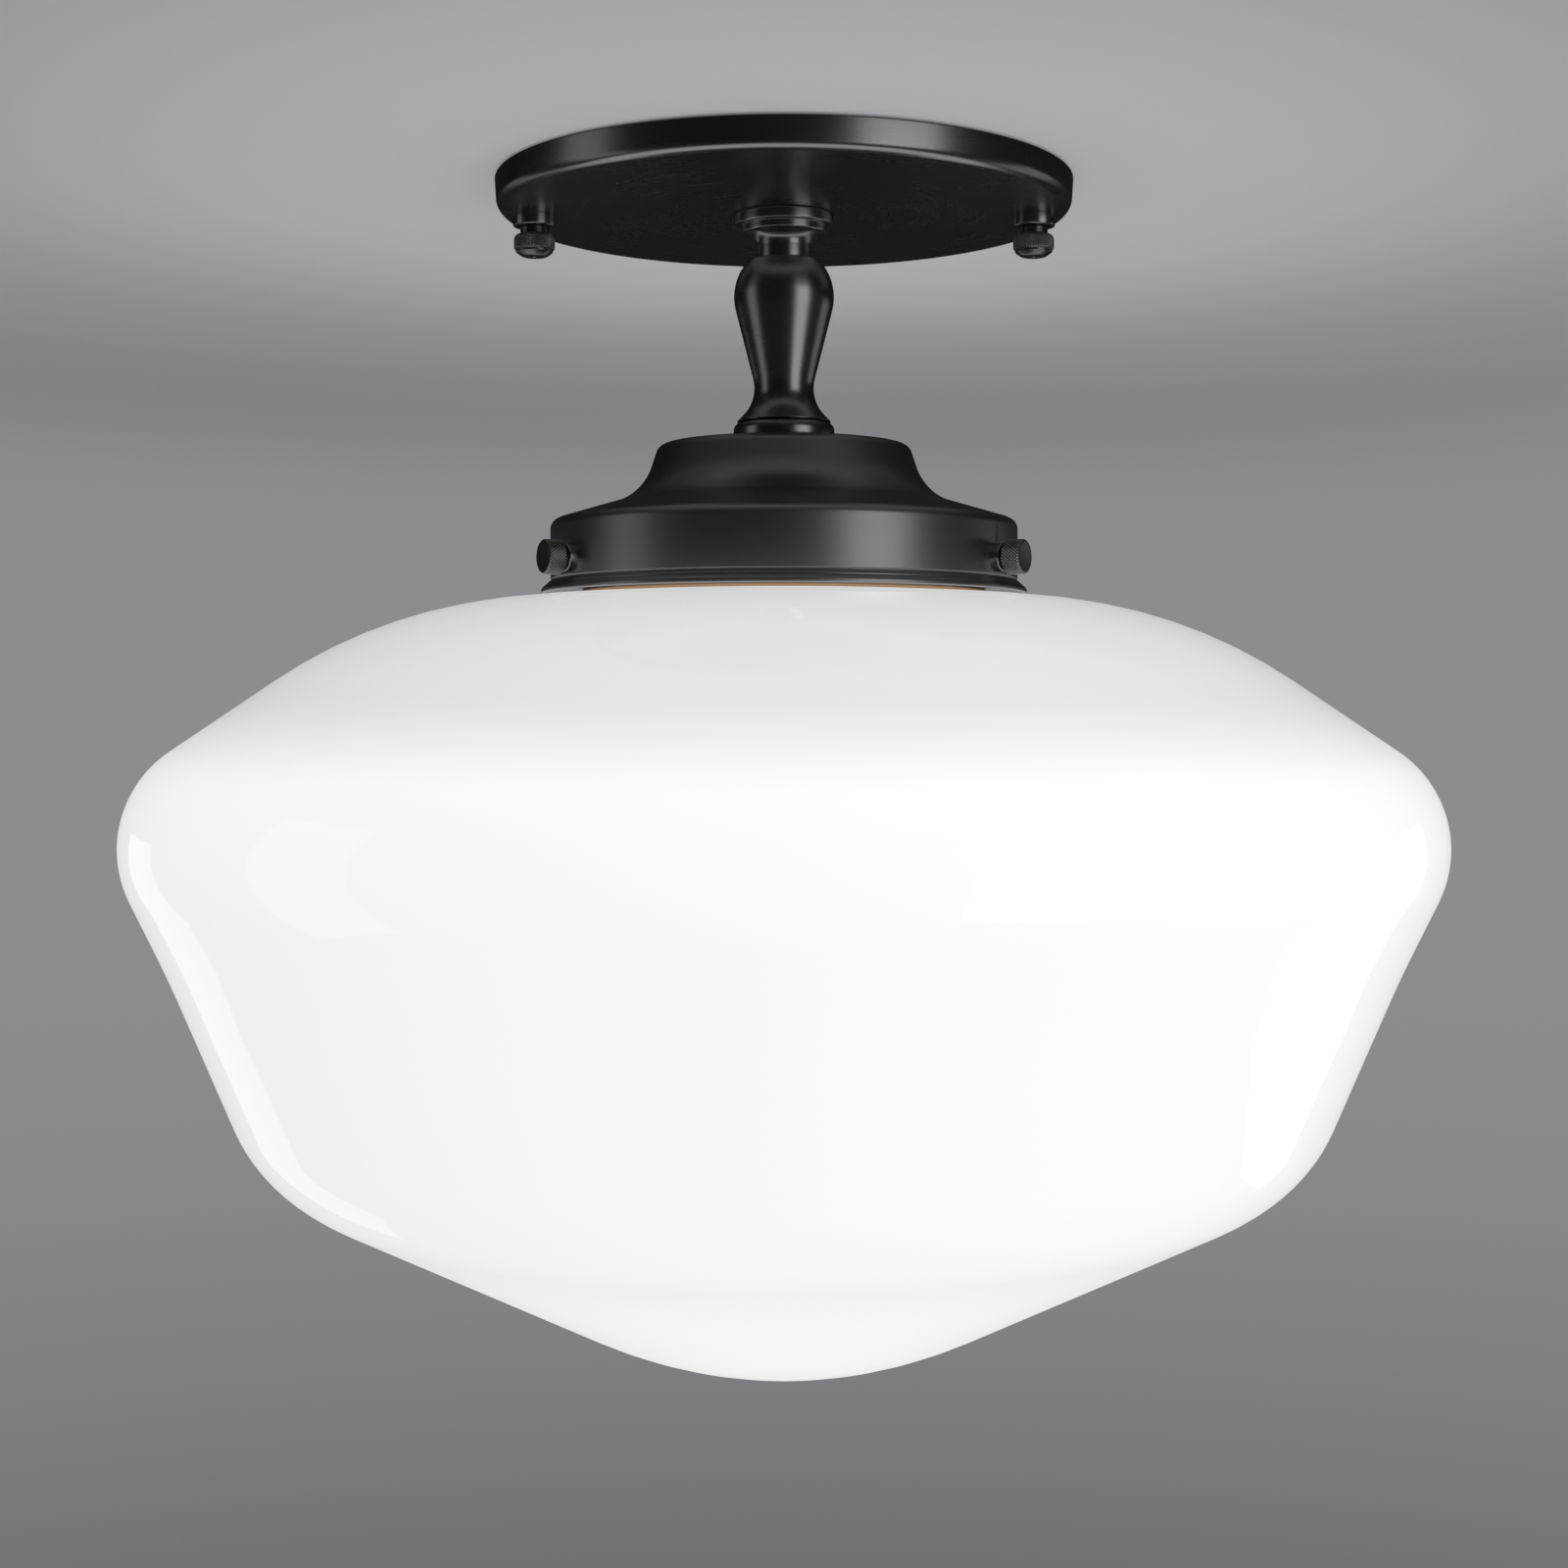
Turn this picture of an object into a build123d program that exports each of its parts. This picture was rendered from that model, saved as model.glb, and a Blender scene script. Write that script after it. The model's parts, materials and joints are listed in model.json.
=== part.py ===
from build123d import *
from math import pi, radians, tan
import os

# Semi-flush ceiling light with a blown opal globe, in millimetres.
# +Z is up. The origin lies on the lamp's axis in the ceiling plane, and all of the light hangs below it.
# Heights are z values. The canopy's thumb nuts lie on X, and the shade screws are shared out from -Y.

# Clearances
thread_clearance = 0.05   # radial play of a screw in its own thread
pass_clearance = 0.35     # radial play of a screw or tube in a plain hole
running_gap = 0.1         # flat gap between two pieces that turn against each other
seat_gap = 0.3            # gap of a piece that rests loosely on its seat

# Canopy
canopy_radius = 67.5
canopy_height = 7.1
canopy_draft = 0.4
canopy_edge_round = 2.5
canopy_wall = 1.2

# Crossbar inside the canopy
crossbar_end_clearance = 2.8
crossbar_width = 22.0
crossbar_thickness = 1.6
crossbar_hole_clearance = 0.5
crossbar_end_round = 4.0
stud_to_slot = 14.25
slot_length = 14.0
slot_width = 5.0
ground_screw_x = 24.0
ground_screw_radius = 1.75
ground_head_flats = 7.9
ground_head_height = 1.9
ground_slot_width = 0.9
ground_slot_depth = 0.8

# Studs, lock nuts and thumb nuts of the canopy
stud_inset = 8.8
stud_radius = 2.08
stud_engagement = 3.8
stud_end_chamfer = 0.4
lock_nut_flats = 8.7
lock_nut_height = 2.4
collar_radius = 5.0
collar_height = 2.7
collar_chamfer = 0.35
thumb_neck_radius = 3.3
thumb_neck_height = 1.6
thumb_head_radius = 4.85
thumb_head_height = 3.8
thumb_head_chamfer = 0.5
thumb_dome_height = 1.45
thumb_dome_edge = 0.4
thumb_dome_edge_round = 0.4
thumb_dome_face_radius = 2.9
thumb_dome_face_round = 1.4
thumb_point_radius = 0.5
thumb_point_height = 0.35
thumb_bore_spare = 0.6

# Diamond knurling of the thumb nuts and screws
knurl_columns = 16
knurl_angle = 30.0
knurl_depth = 0.32

# Threaded tube, hex nuts and lock washers on the axis
nipple_radius = 4.9
nipple_bore_radius = 3.5
nipple_top = -1.3
nipple_thread_in_socket = 5.5
hex_nut_flats = 14.0
hex_nut_height = 2.8
hex_nut_chamfer = 0.4
washer_radius = 8.5
washer_thickness = 0.8
washer_split = 1.0

# Stem
stem_ring_radius = 11.8
stem_ring_height = 2.6
stem_step_radius = 10.15
stem_step_height = 1.8
stem_neck_radius = 6.45
stem_collar_height = 10.6
stem_cove_round = 3.2
vase_height = 37.9
vase_shoulder_radius = 8.6
vase_shoulder_round = 0.8
vase_belly_radius = 12.7
vase_belly_drop = 6.4
vase_belly_round = 12.5
vase_waist_radius = 6.0
vase_waist_drop = 32.6
vase_waist_round = 9.1
vase_foot_radius = 11.3
base_ring_radius = 11.9
base_ring_height = 5.4
base_ring_upper_round = 2.0
base_ring_lower_round = 2.4

# Fitter: crown, cove, drum wall and flared lip
fitter_wall = 1.2
crown_radius = 29.5
crown_round = 2.5
cove_spread = 3.9
cove_drop = 11.75
cove_round = 13.4
drum_radius = 54.9
drum_drop = 18.2
drum_round = 2.4
fitter_height = 35.0
lip_flare = 2.2
lip_flare_height = 2.0
lip_edge_height = 1.0
groove_above_end = 3.1
groove_width = 0.7
groove_depth = 0.3

# Shade screws
screw_count = 3
first_screw_angle = -30.0
screw_above_fitter_end = 7.0
screw_radius = 2.08
bushing_radius = 3.2
bushing_reach = 2.1
bushing_chamfer = 0.4
screw_neck_radius = 2.75
screw_neck_length = 0.7
screw_head_radius = 4.0
screw_head_length = 4.3
screw_head_chamfer = 0.4
screw_head_dish = 0.25
screw_shank_inside = 3.7
tip_radius = 1.9
tip_chamfer = 0.6

# Globe
glass_wall = 3.0
globe_lip_clearance = 4.2
globe_lip_overhang = 3.5
globe_lip_height = 5.0
globe_lip_chamfer = 1.2
globe_shoulder_gap = 1.0
neck_round = 5.5
shoulder_radius = 89.2
shoulder_round = 112.0
equator_radius = 159.3
equator_drop = 48.1
equator_round = 26.4
waist_hollow = 1.27
waist_drop = 85.0
waist_round = 266.0
knuckle_radius = 122.8
knuckle_drop = 131.6
knuckle_round = 35.9
nose_radius = 40.1
nose_drop = 175.1
nose_round = 122.0
nose_flat_radius = 6.0
nose_tip_round = 30.0
globe_depth = 184.6

# Lampholder
socket_hub_radius = 8.5
socket_hub_height = 4.5
socket_cap_inset = 0.7
socket_cap_height = 9.0
socket_cap_chamfer = 2.5
socket_wall = 5.45
socket_length = 38.0
socket_web = 8.0
socket_mouth_flange = 1.5
socket_mouth_height = 6.0
socket_mouth_chamfer = 1.0
socket_wire_radius = 3.0
shell_bore_radius = 13.3
shell_wall = 0.45
shell_end_gap = 2.0
shell_hole_radius = 7.0
contact_radius = 4.0
contact_thickness = 1.0
terminal_radius = 1.5
terminal_head_radius = 3.2
terminal_head_height = 1.8
terminal_depth = 4.0
terminal_drop = 12.0
terminal_recess = 1.2

# Bulb
bulb_length = 108.0
bulb_radius = 30.0
bulb_neck_flare = 1.05
bulb_neck_drop = 39.7
bulb_belly_drop = 65.7
bulb_neck_round = 20.0
bulb_belly_round = 24.0
bulb_end_flat = 0.5
bulb_wall = 1.0
bulb_seat_length = 6.0
base_wall = 0.35
base_length = 23.0
insulator_height = 3.8
insulator_top_radius = 4.8
insulator_plug_height = 2.5
tip_contact_radius = 4.6
tip_contact_height = 1.9
tip_contact_chamfer = 1.0

# Places that follow from the sizes above
canopy_underside = -canopy_height
canopy_inside = canopy_underside + canopy_wall
crossbar_bottom = -crossbar_thickness
crossbar_length = 2 * (canopy_radius - canopy_wall - crossbar_end_clearance)
crossbar_hole_radius = hex_nut_flats / 3 ** 0.5 + crossbar_hole_clearance
stud_x = canopy_radius - stud_inset
slot_x = stud_x - stud_to_slot
thumb_nut_top = canopy_underside - collar_height - running_gap
stud_end = thumb_nut_top - stud_engagement
stem_bore = nipple_radius + pass_clearance
vase_top = canopy_underside - stem_collar_height
base_ring_top = vase_top - vase_height
fitter_top = base_ring_top - base_ring_height
fitter_bottom = fitter_top - fitter_height
fitter_inside_top = fitter_top - fitter_wall
screw_height = fitter_bottom + screw_above_fitter_end
bushing_end = drum_radius + bushing_reach
drum_inside = drum_radius - fitter_wall
globe_shoulder = fitter_bottom - globe_shoulder_gap
waist_share = (waist_drop - equator_drop) / (knuckle_drop - equator_drop)
waist_radius = equator_radius + waist_share * (knuckle_radius - equator_radius) - waist_hollow
globe_lip_radius = drum_inside - globe_lip_clearance
globe_neck_radius = globe_lip_radius - globe_lip_overhang
globe_lip_bottom = screw_height + tip_radius + seat_gap
globe_lip_top = globe_lip_bottom + globe_lip_height
screw_shank_end = drum_inside - screw_shank_inside
tip_end = globe_neck_radius + seat_gap
socket_top = fitter_inside_top - washer_thickness - hex_nut_height
nipple_bottom = socket_top - nipple_thread_in_socket
socket_body_top = socket_top - socket_cap_height
socket_ceiling = socket_body_top - socket_web
socket_bottom = socket_body_top - socket_length
socket_cavity_radius = shell_bore_radius + shell_wall + seat_gap
socket_radius = socket_cavity_radius + socket_wall
socket_mouth_radius = socket_radius + socket_mouth_flange
terminal_seat = socket_radius - terminal_recess
bulb_top = socket_ceiling - contact_thickness - seat_gap
insulator_top = bulb_top - tip_contact_height
base_top = insulator_top - insulator_height
base_bottom = base_top - base_length
base_radius = shell_bore_radius - seat_gap
base_bore_radius = base_radius - base_wall
bulb_seat_radius = base_bore_radius - seat_gap
bulb_bottom = bulb_top - bulb_length


def turned(points, rounds=0):
    """A solid turned about Z from a closed outline of (radius, height) points."""
    outline = FilletPolyline(*points, radius=rounds, close=True)
    return revolve(Plane.XZ * make_face(outline), Axis.Z)


def spun(points, rounds, wall):
    """A wall of even thickness turned about Z, on the inner side of its outer face's open outline."""
    outline = FilletPolyline(*points, radius=rounds)
    both_sides = [offset(outline, amount=wall, side=side) for side in (Side.LEFT, Side.RIGHT)]
    section = min(both_sides, key=lambda wires: wires.bounding_box().max.X)
    return revolve(Plane.XZ * make_face(section), Axis.Z)


def rod(radius, low, high):
    """A round bar on the Z axis between two heights."""
    return Pos(0, 0, low) * Cylinder(radius, high - low, align=(Align.CENTER, Align.CENTER, Align.MIN))


def ring(inner, outer, low, high):
    """A plain ring on the Z axis between two heights."""
    return rod(outer, low, high) - rod(inner, low, high)


def hexagon_bar(flats, low, high, chamfer):
    """A short hexagonal bar on the Z axis with both ends turned down at the corners."""
    corner = flats / 3 ** 0.5
    blank = Pos(0, 0, low) * extrude(RegularPolygon(corner, 6), high - low)
    turning = turned(
        [(0, low), (corner - chamfer, low), (corner, low + chamfer), (corner, high - chamfer),
         (corner - chamfer, high), (0, high)])
    return blank & turning


def lock_washer(low):
    """A split ring on the threaded tube, with its lower face at the given height."""
    high = low + washer_thickness
    split = Pos(washer_radius, 0, low) * Box(
        2 * washer_radius, washer_split, washer_thickness, align=(Align.CENTER, Align.CENTER, Align.MIN))
    return ring(stem_bore, washer_radius, low, high) - split


def knurled_barrel(radius, length, chamfer):
    """A diamond-knurled barrel that stands on the XY plane.

    Crests and groove crossings alternate like a chequerboard round the barrel, and each cell of the board is
    folded along the groove that runs through it.
    """
    columns = 2 * knurl_columns
    height = length - 2 * chamfer
    ideal_row = pi * radius / knurl_columns / tan(radians(knurl_angle))
    rows = max(1, round(height / ideal_row))

    def at(distance, column, z):
        return Vector(distance, 0, z).rotate(Axis.Z, 360 * column / columns)

    def is_crest(row, column):
        return (row + column) % 2 == 0

    def knurl(row, column):
        distance = radius if is_crest(row, column) else radius - knurl_depth
        return at(distance, column, chamfer + height * row / rows)

    def end(column, z):
        return at(radius - chamfer, column, z)

    triangles = []
    for column in range(columns):
        beside = column + 1
        for row in range(rows):
            low, low_beside = knurl(row, column), knurl(row, beside)
            high, high_beside = knurl(row + 1, column), knurl(row + 1, beside)
            if is_crest(row, column):
                triangles += [(low, low_beside, high), (low_beside, high_beside, high)]
            else:
                triangles += [(low, low_beside, high_beside), (low, high_beside, high)]
        for row, z in ((0, 0), (rows, length)):
            edge, edge_beside = knurl(row, column), knurl(row, beside)
            triangles += [(end(column, z), end(beside, z), edge), (end(beside, z), edge_beside, edge)]
    ends = [[end(column, z) for column in range(columns)] for z in (0, length)]
    return Solid(Shell([Face(Wire.make_polygon(corners)) for corners in triangles + ends]))


def around_screws(piece):
    """One copy of a piece made along +X at the height of the axis, for each shade screw."""
    turn = 360 / screw_count
    return [
        Pos(0, 0, screw_height) * Rot(0, 0, first_screw_angle - i * turn) * piece
        for i in range(screw_count)
    ]


# Lying turns a piece made along +Z to lie along +X
lying = Rot(0, 90, 0)


# Ceiling side: canopy, crossbar, studs and nuts

def make_canopy():
    pan = spun(
        [(canopy_radius, 0), (canopy_radius - canopy_draft, canopy_underside), (0, canopy_underside)],
        [canopy_edge_round], canopy_wall)
    pan -= rod(canopy_radius, 0, canopy_wall)
    pan -= rod(stem_bore, canopy_underside, canopy_inside)
    stud_hole = rod(stud_radius + pass_clearance, canopy_underside, canopy_inside)
    return pan - [Pos(side * stud_x, 0, 0) * stud_hole for side in (-1, 1)]


def make_crossbar():
    strap = RectangleRounded(crossbar_length, crossbar_width, crossbar_end_round)
    strap -= Circle(crossbar_hole_radius)
    strap -= Pos(ground_screw_x, 0) * Circle(ground_screw_radius + thread_clearance)
    for side in (-1, 1):
        strap -= Pos(side * slot_x, 0) * SlotOverall(slot_length, slot_width)
        strap -= Pos(side * stud_x, 0) * Circle(stud_radius + thread_clearance)
    return Pos(0, 0, crossbar_bottom) * extrude(strap, crossbar_thickness)


def make_stud():
    return turned(
        [(0, 0), (stud_radius, 0), (stud_radius, stud_end + stud_end_chamfer),
         (stud_radius - stud_end_chamfer, stud_end), (0, stud_end)])


def make_lock_nut():
    bottom = crossbar_bottom - lock_nut_height
    nut = hexagon_bar(lock_nut_flats, bottom, crossbar_bottom, hex_nut_chamfer)
    return nut - rod(stud_radius + thread_clearance, bottom, crossbar_bottom)


def make_ground_screw():
    head_bottom = crossbar_bottom - ground_head_height
    screw = rod(ground_screw_radius, crossbar_bottom, 0)
    screw += hexagon_bar(ground_head_flats, head_bottom, crossbar_bottom, hex_nut_chamfer)
    slot = Pos(0, 0, head_bottom) * Box(
        2 * ground_head_flats, ground_slot_width, ground_slot_depth,
        align=(Align.CENTER, Align.CENTER, Align.MIN))
    return Pos(ground_screw_x, 0, 0) * (screw - slot)


def make_collar():
    bore = stud_radius + pass_clearance
    bottom = canopy_underside - collar_height
    return turned(
        [(bore, canopy_underside), (collar_radius, canopy_underside),
         (collar_radius, bottom + collar_chamfer), (collar_radius - collar_chamfer, bottom), (bore, bottom)])


def make_thumb_nut():
    head_top = thumb_nut_top - thumb_neck_height
    head_bottom = head_top - thumb_head_height
    dome_bottom = head_bottom - thumb_dome_height
    dome_rim = thumb_head_radius - thumb_head_chamfer
    neck = rod(thumb_neck_radius, head_top, thumb_nut_top)
    head = Pos(0, 0, head_bottom) * knurled_barrel(thumb_head_radius, thumb_head_height, thumb_head_chamfer)
    dome = turned(
        [(0, head_bottom), (dome_rim, head_bottom), (dome_rim, head_bottom - thumb_dome_edge),
         (thumb_dome_face_radius, dome_bottom), (thumb_point_radius, dome_bottom),
         (0, dome_bottom - thumb_point_height)],
        [0, 0, thumb_dome_edge_round, thumb_dome_face_round, 0, 0])
    bore = rod(stud_radius + thread_clearance, stud_end - thumb_bore_spare, thumb_nut_top)
    return neck + head + dome - bore


# Axis: threaded tube, nuts, washers and the stem's turned pieces

def make_nipple():
    return ring(nipple_bore_radius, nipple_radius, nipple_bottom, nipple_top)


def make_hex_nut(low):
    high = low + hex_nut_height
    nut = hexagon_bar(hex_nut_flats, low, high, hex_nut_chamfer)
    return nut - rod(nipple_radius + thread_clearance, low, high)


def make_stem_collar():
    ring_bottom = canopy_underside - stem_ring_height
    step_bottom = ring_bottom - stem_step_height
    return turned(
        [(stem_bore, canopy_underside), (stem_ring_radius, canopy_underside), (stem_ring_radius, ring_bottom),
         (stem_step_radius, ring_bottom), (stem_step_radius, step_bottom), (stem_neck_radius, step_bottom),
         (stem_neck_radius, vase_top), (stem_bore, vase_top)],
        [0, 0, 0, 0, 0, stem_cove_round, 0, 0])


def make_stem_vase():
    return turned(
        [(stem_bore, vase_top), (vase_shoulder_radius, vase_top),
         (vase_belly_radius, vase_top - vase_belly_drop),
         (vase_waist_radius, vase_top - vase_waist_drop),
         (vase_foot_radius, base_ring_top), (stem_bore, base_ring_top)],
        [0, vase_shoulder_round, vase_belly_round, vase_waist_round, 0, 0])


def make_base_ring():
    return turned(
        [(stem_bore, base_ring_top), (base_ring_radius, base_ring_top), (base_ring_radius, fitter_top),
         (stem_bore, fitter_top)],
        [0, base_ring_upper_round, base_ring_lower_round, 0])


# Shade holder: fitter, bushings and screws

def make_fitter():
    lip_radius = drum_radius + lip_flare
    lip_top = fitter_bottom + lip_edge_height
    shell = spun(
        [(0, fitter_top), (crown_radius, fitter_top), (crown_radius + cove_spread, fitter_top - cove_drop),
         (drum_radius, fitter_top - drum_drop), (drum_radius, lip_top + lip_flare_height),
         (lip_radius, lip_top), (lip_radius, fitter_bottom)],
        [crown_round, cove_round, drum_round, 0, 0], fitter_wall)
    groove_middle = fitter_bottom + groove_above_end
    shell -= turned(
        [(drum_radius - groove_depth, groove_middle), (drum_radius, groove_middle + groove_width / 2),
         (drum_radius + groove_depth, groove_middle), (drum_radius, groove_middle - groove_width / 2)])
    shell -= rod(stem_bore, fitter_inside_top, fitter_top)
    screw_hole = lying * rod(screw_radius + pass_clearance, 0, bushing_end)
    return shell - around_screws(screw_hole)


def make_bushings():
    bore = screw_radius + thread_clearance
    blank = turned(
        [(bore, 0), (bushing_radius, 0), (bushing_radius, bushing_end - bushing_chamfer),
         (bushing_radius - bushing_chamfer, bushing_end), (bore, bushing_end)])
    drum = rod(drum_radius, fitter_bottom, fitter_top)
    return [piece - drum for piece in around_screws(lying * blank)]


def make_screws():
    neck_start = bushing_end + running_gap
    head_start = neck_start + screw_neck_length
    head_end = head_start + screw_head_length
    screw = rod(screw_radius, screw_shank_end, neck_start)
    screw += rod(screw_neck_radius, neck_start, head_start)
    screw += Pos(0, 0, head_start) * knurled_barrel(screw_head_radius, screw_head_length, screw_head_chamfer)
    dish_radius = screw_head_radius - 2 * screw_head_chamfer
    screw -= turned([(0, head_end - screw_head_dish), (dish_radius, head_end), (0, head_end)])
    return around_screws(lying * screw)


def make_screw_tips():
    tip_start = screw_shank_end - running_gap
    tip = turned(
        [(0, tip_end), (tip_radius - tip_chamfer, tip_end), (tip_radius, tip_end + tip_chamfer),
         (tip_radius, tip_start), (0, tip_start)])
    return around_screws(lying * tip)


# Globe

def make_globe():
    bottom = globe_shoulder - globe_depth
    shell = spun(
        [(globe_neck_radius, globe_lip_top), (globe_neck_radius, globe_shoulder),
         (shoulder_radius, globe_shoulder),
         (equator_radius, globe_shoulder - equator_drop), (waist_radius, globe_shoulder - waist_drop),
         (knuckle_radius, globe_shoulder - knuckle_drop), (nose_radius, globe_shoulder - nose_drop),
         (nose_flat_radius, bottom), (0, bottom)],
        [neck_round, shoulder_round, equator_round, waist_round, knuckle_round, nose_round, nose_tip_round],
        glass_wall)
    shell -= rod(globe_lip_radius, globe_lip_bottom + globe_lip_height / 2, globe_lip_top)
    lip_inside = globe_neck_radius - glass_wall
    lip = turned(
        [(lip_inside, globe_lip_bottom), (globe_lip_radius, globe_lip_bottom),
         (globe_lip_radius, globe_lip_top - globe_lip_chamfer),
         (globe_lip_radius - globe_lip_chamfer, globe_lip_top), (lip_inside, globe_lip_top)])
    return shell + lip


# Lampholder

def make_socket_cap():
    hub_bottom = socket_top - socket_hub_height
    cap_radius = socket_radius - socket_cap_inset
    cap = turned(
        [(0, socket_top), (socket_hub_radius, socket_top), (socket_hub_radius, hub_bottom),
         (cap_radius - socket_cap_chamfer, hub_bottom), (cap_radius, hub_bottom - socket_cap_chamfer),
         (cap_radius, socket_body_top), (0, socket_body_top)])
    cap -= rod(nipple_radius + thread_clearance, nipple_bottom, socket_top)
    return cap - rod(socket_wire_radius, socket_body_top, nipple_bottom)


def terminal_places():
    """The two terminal screws, on -X and +X."""
    return [Pos(0, 0, socket_body_top - terminal_drop) * Rot(0, 0, turn) for turn in (0, 180)]


def make_socket_body():
    mouth_top = socket_bottom + socket_mouth_height
    body = turned(
        [(0, socket_body_top), (socket_radius, socket_body_top), (socket_radius, mouth_top),
         (socket_mouth_radius, mouth_top), (socket_mouth_radius, socket_bottom + socket_mouth_chamfer),
         (socket_mouth_radius - socket_mouth_chamfer, socket_bottom), (socket_cavity_radius, socket_bottom),
         (socket_cavity_radius, socket_ceiling), (0, socket_ceiling)])
    body -= rod(socket_wire_radius, socket_ceiling, socket_body_top)
    recess = rod(terminal_head_radius + seat_gap, terminal_seat, socket_mouth_radius)
    hole = rod(terminal_radius + thread_clearance, terminal_seat - terminal_depth, socket_mouth_radius)
    return body - [place * lying * (recess + hole) for place in terminal_places()]


def make_terminal_screws():
    screw = rod(terminal_radius, terminal_seat - terminal_depth, terminal_seat)
    screw += rod(terminal_head_radius, terminal_seat, terminal_seat + terminal_head_height)
    return [place * lying * screw for place in terminal_places()]


def make_screw_shell():
    outer = shell_bore_radius + shell_wall
    shell = ring(shell_bore_radius, outer, socket_bottom + shell_end_gap, socket_ceiling)
    return shell + ring(shell_hole_radius, outer, socket_ceiling - shell_wall, socket_ceiling)


def make_centre_contact():
    return rod(contact_radius, socket_ceiling - contact_thickness, socket_ceiling)


# Bulb

def make_tip_contact():
    return turned(
        [(0, bulb_top), (tip_contact_radius - tip_contact_chamfer, bulb_top),
         (tip_contact_radius, bulb_top - tip_contact_chamfer), (tip_contact_radius, insulator_top),
         (0, insulator_top)])


def make_insulator():
    plug_bottom = base_top - insulator_plug_height
    return turned(
        [(0, insulator_top), (insulator_top_radius, insulator_top), (bulb_seat_radius, base_top),
         (bulb_seat_radius, plug_bottom), (0, plug_bottom)])


def make_base_shell():
    return ring(base_bore_radius, base_radius, base_bottom, base_top)


def make_envelope():
    neck_radius = bulb_seat_radius + bulb_neck_flare
    return spun(
        [(bulb_seat_radius, base_bottom + bulb_seat_length), (bulb_seat_radius, base_bottom),
         (neck_radius, bulb_top - bulb_neck_drop), (bulb_radius, bulb_top - bulb_belly_drop),
         (bulb_radius, bulb_bottom), (0, bulb_bottom)],
        [0, bulb_neck_round, bulb_belly_round, bulb_radius - bulb_end_flat], bulb_wall)


# Every node and its solids
collar = make_collar()
thumb_nut = make_thumb_nut()
stud = make_stud()
lock_nut = make_lock_nut()
left = Pos(-stud_x, 0, 0)
right = Pos(stud_x, 0, 0)

nodes = {
    "canopy": make_canopy(),
    "crossbar": make_crossbar(),
    "crossbar_studs": [left * stud, right * stud],
    "stud_lock_nuts": [left * lock_nut, right * lock_nut],
    "ground_screw": make_ground_screw(),
    "canopy_collar_left": left * collar,
    "canopy_collar_right": right * collar,
    "canopy_thumb_nut_left": left * thumb_nut,
    "canopy_thumb_nut_right": right * thumb_nut,
    "threaded_nipple": make_nipple(),
    "canopy_lock_washer": lock_washer(canopy_inside),
    "canopy_hex_nut": make_hex_nut(canopy_inside + washer_thickness),
    "stem_collar": make_stem_collar(),
    "stem_vase": make_stem_vase(),
    "stem_base_ring": make_base_ring(),
    "fitter": make_fitter(),
    "fitter_lock_washer": lock_washer(fitter_inside_top - washer_thickness),
    "fitter_hex_nut": make_hex_nut(socket_top),
    "shade_screw_bushings": make_bushings(),
    "globe": make_globe(),
    "socket_cap": make_socket_cap(),
    "socket_body": make_socket_body(),
    "socket_terminal_screws": make_terminal_screws(),
    "socket_screw_shell": make_screw_shell(),
    "socket_centre_contact": make_centre_contact(),
    "bulb_tip_contact": make_tip_contact(),
    "bulb_base_insulator": make_insulator(),
    "bulb_base_shell": make_base_shell(),
    "bulb_envelope": make_envelope(),
}
for number, (screw, tip) in enumerate(zip(make_screws(), make_screw_tips()), start=1):
    nodes[f"shade_screw_{number}"] = screw
    nodes[f"shade_screw_tip_{number}"] = tip

os.makedirs("parts", exist_ok=True)
for name, shape in nodes.items():
    solids = shape if isinstance(shape, list) else [shape]
    body = Compound(children=[solid for piece in solids for solid in piece.solids()])
    export_step(body if len(body.solids()) > 1 else body.solids()[0], f"parts/{name}.step")
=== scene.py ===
"""Looks of a semi-flush ceiling light with a blown opal globe.

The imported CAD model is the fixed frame. Each piece that shows is turned, knurled, threaded or drilled again
at a finer grain, stands for its CAD node and rides on that node's body. Lengths are in metres, +Z is up, and
the lamp's axis meets the ceiling at the origin.
"""

import json
from functools import cache
from math import ceil, cos, pi, radians, sin, tan
from typing import NamedTuple

import bmesh
import bpy
from mathutils import Matrix, Vector

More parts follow.
